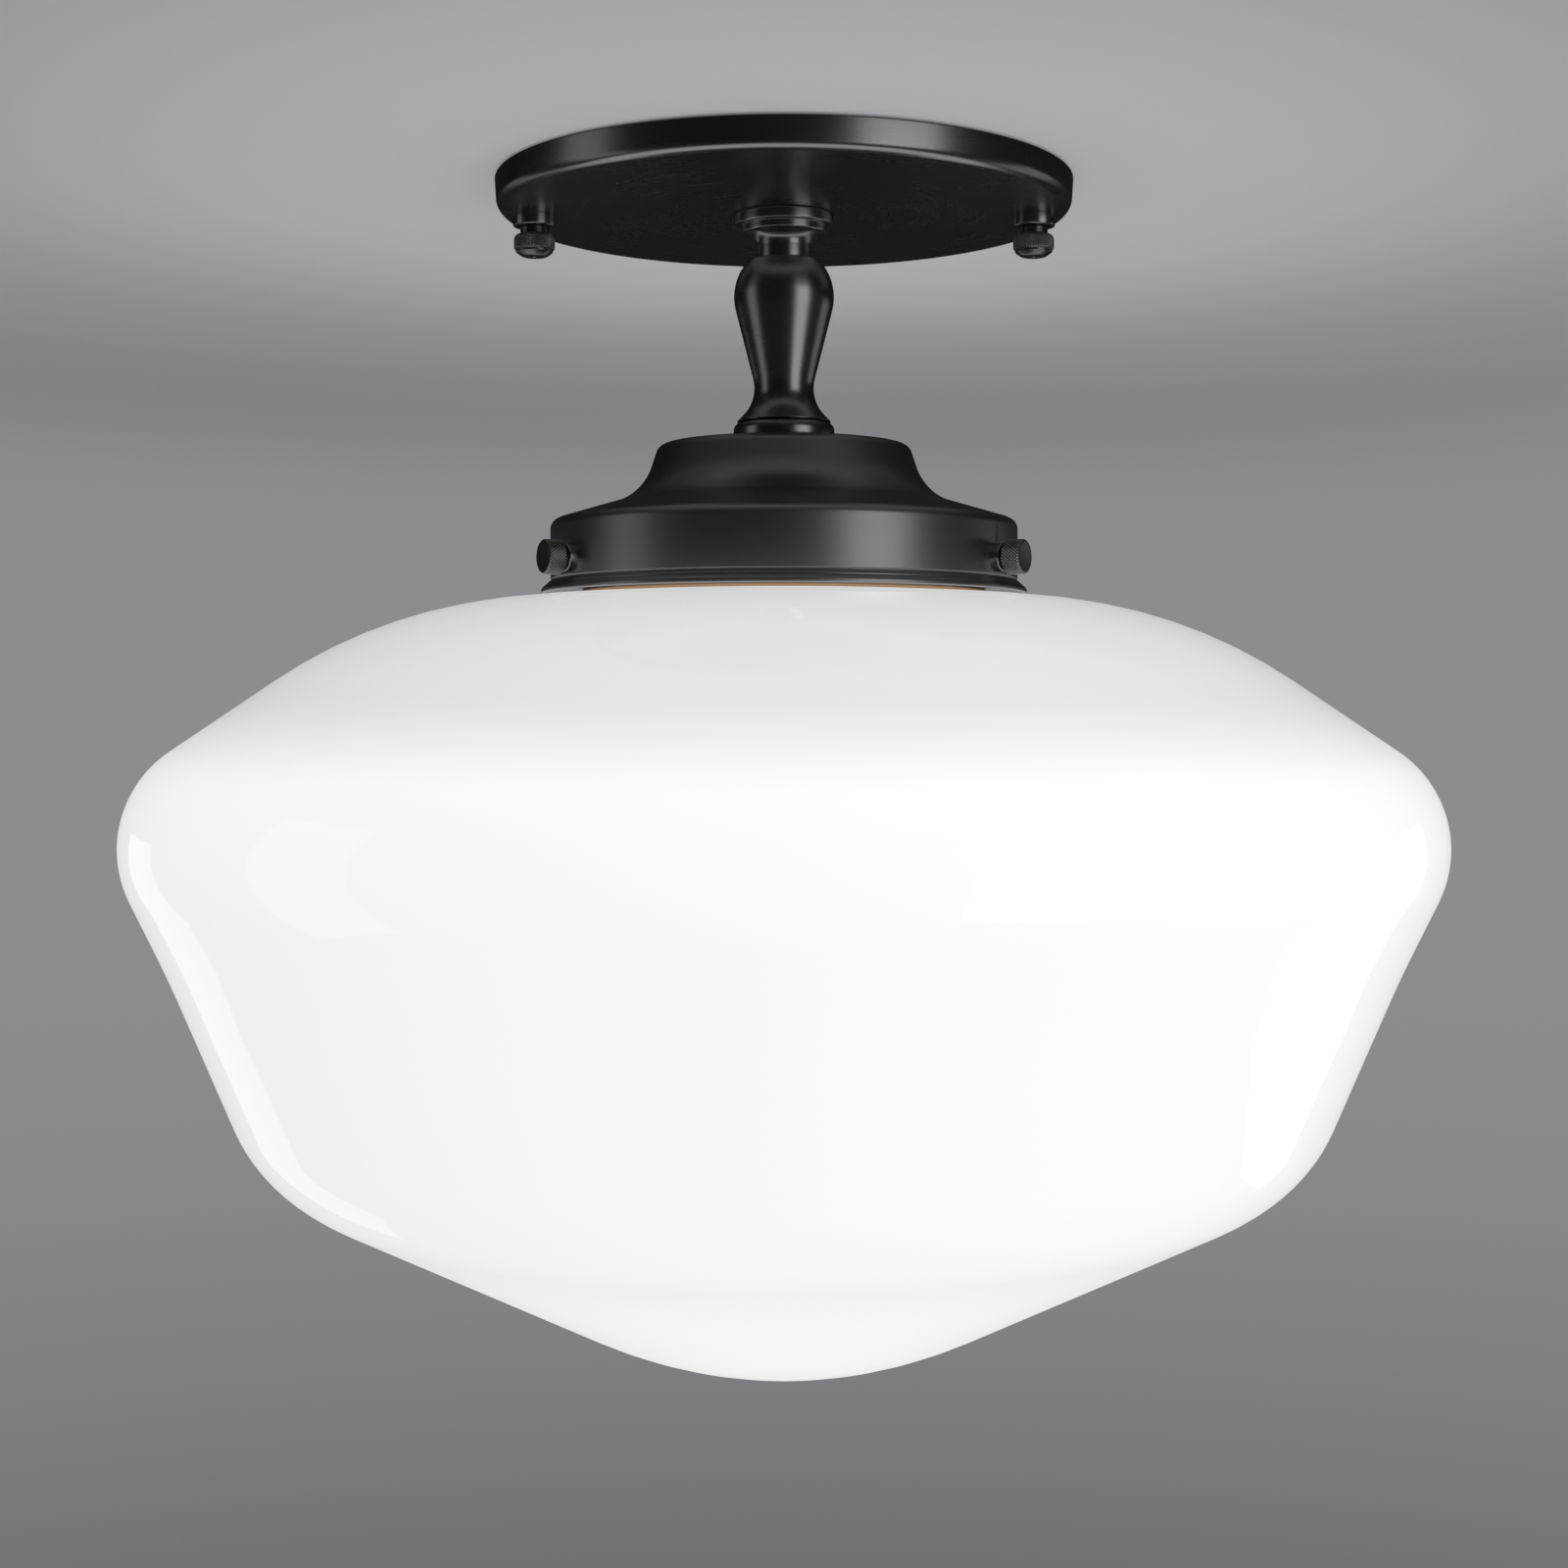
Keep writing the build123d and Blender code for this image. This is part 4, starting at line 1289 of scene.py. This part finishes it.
    def make_camera(self, scene):
        stage = settings().stage
        lens = bpy.data.cameras.new("camera")
        lens.lens = stage.lens
        lens.sensor_width = 36.0
        lens.clip_start = 0.01
        camera = new_object("camera", lens)
        camera.location = (0, -stage.camera_distance, -stage.camera_drop)
        camera.rotation_euler = (pi / 2 - stage.camera_tilt, 0, 0)
        scene.camera = camera


OPERATORS = [
    CEILINGLIGHT_OT_canopy, CEILINGLIGHT_OT_crossbar, CEILINGLIGHT_OT_thumb_nuts, CEILINGLIGHT_OT_stem,
    CEILINGLIGHT_OT_fitter, CEILINGLIGHT_OT_shade_screws, CEILINGLIGHT_OT_globe, CEILINGLIGHT_OT_lampholder,
    CEILINGLIGHT_OT_bulb, CEILINGLIGHT_OT_stage]


class CEILINGLIGHT_PT_panel(bpy.types.Panel):
    """Lists the settings and the pieces of the ceiling light"""

    bl_idname = "CEILINGLIGHT_PT_panel"
    bl_label = "Ceiling light"
    bl_space_type = "VIEW_3D"
    bl_region_type = "UI"
    bl_category = "Ceiling light"

    def draw(self, context):
        for group in (settings().metal, settings().glass, settings().stage):
            box = self.layout.box()
            for name in group.__annotations__:
                box.prop(group, name)
        for operator in OPERATORS:
            self.layout.operator(operator.bl_idname)


CLASSES = [
    MetalSettings, GlassSettings, StageSettings, CeilingLightSettings, *OPERATORS, CEILINGLIGHT_PT_panel]


def register():
    for listed in CLASSES:
        bpy.utils.register_class(listed)
    bpy.types.Scene.ceiling_light = bpy.props.PointerProperty(type=CeilingLightSettings)


def unregister():
    del bpy.types.Scene.ceiling_light
    for listed in reversed(CLASSES):
        bpy.utils.unregister_class(listed)


def main():
    register()
    bpy.ops.ceiling_light.canopy()
    bpy.ops.ceiling_light.crossbar()
    bpy.ops.ceiling_light.thumb_nuts()
    bpy.ops.ceiling_light.stem()
    bpy.ops.ceiling_light.fitter()
    bpy.ops.ceiling_light.shade_screws()
    bpy.ops.ceiling_light.globe()
    bpy.ops.ceiling_light.lampholder()
    bpy.ops.ceiling_light.bulb()
    bpy.ops.ceiling_light.stage()


if __name__ == "__main__":
    main()
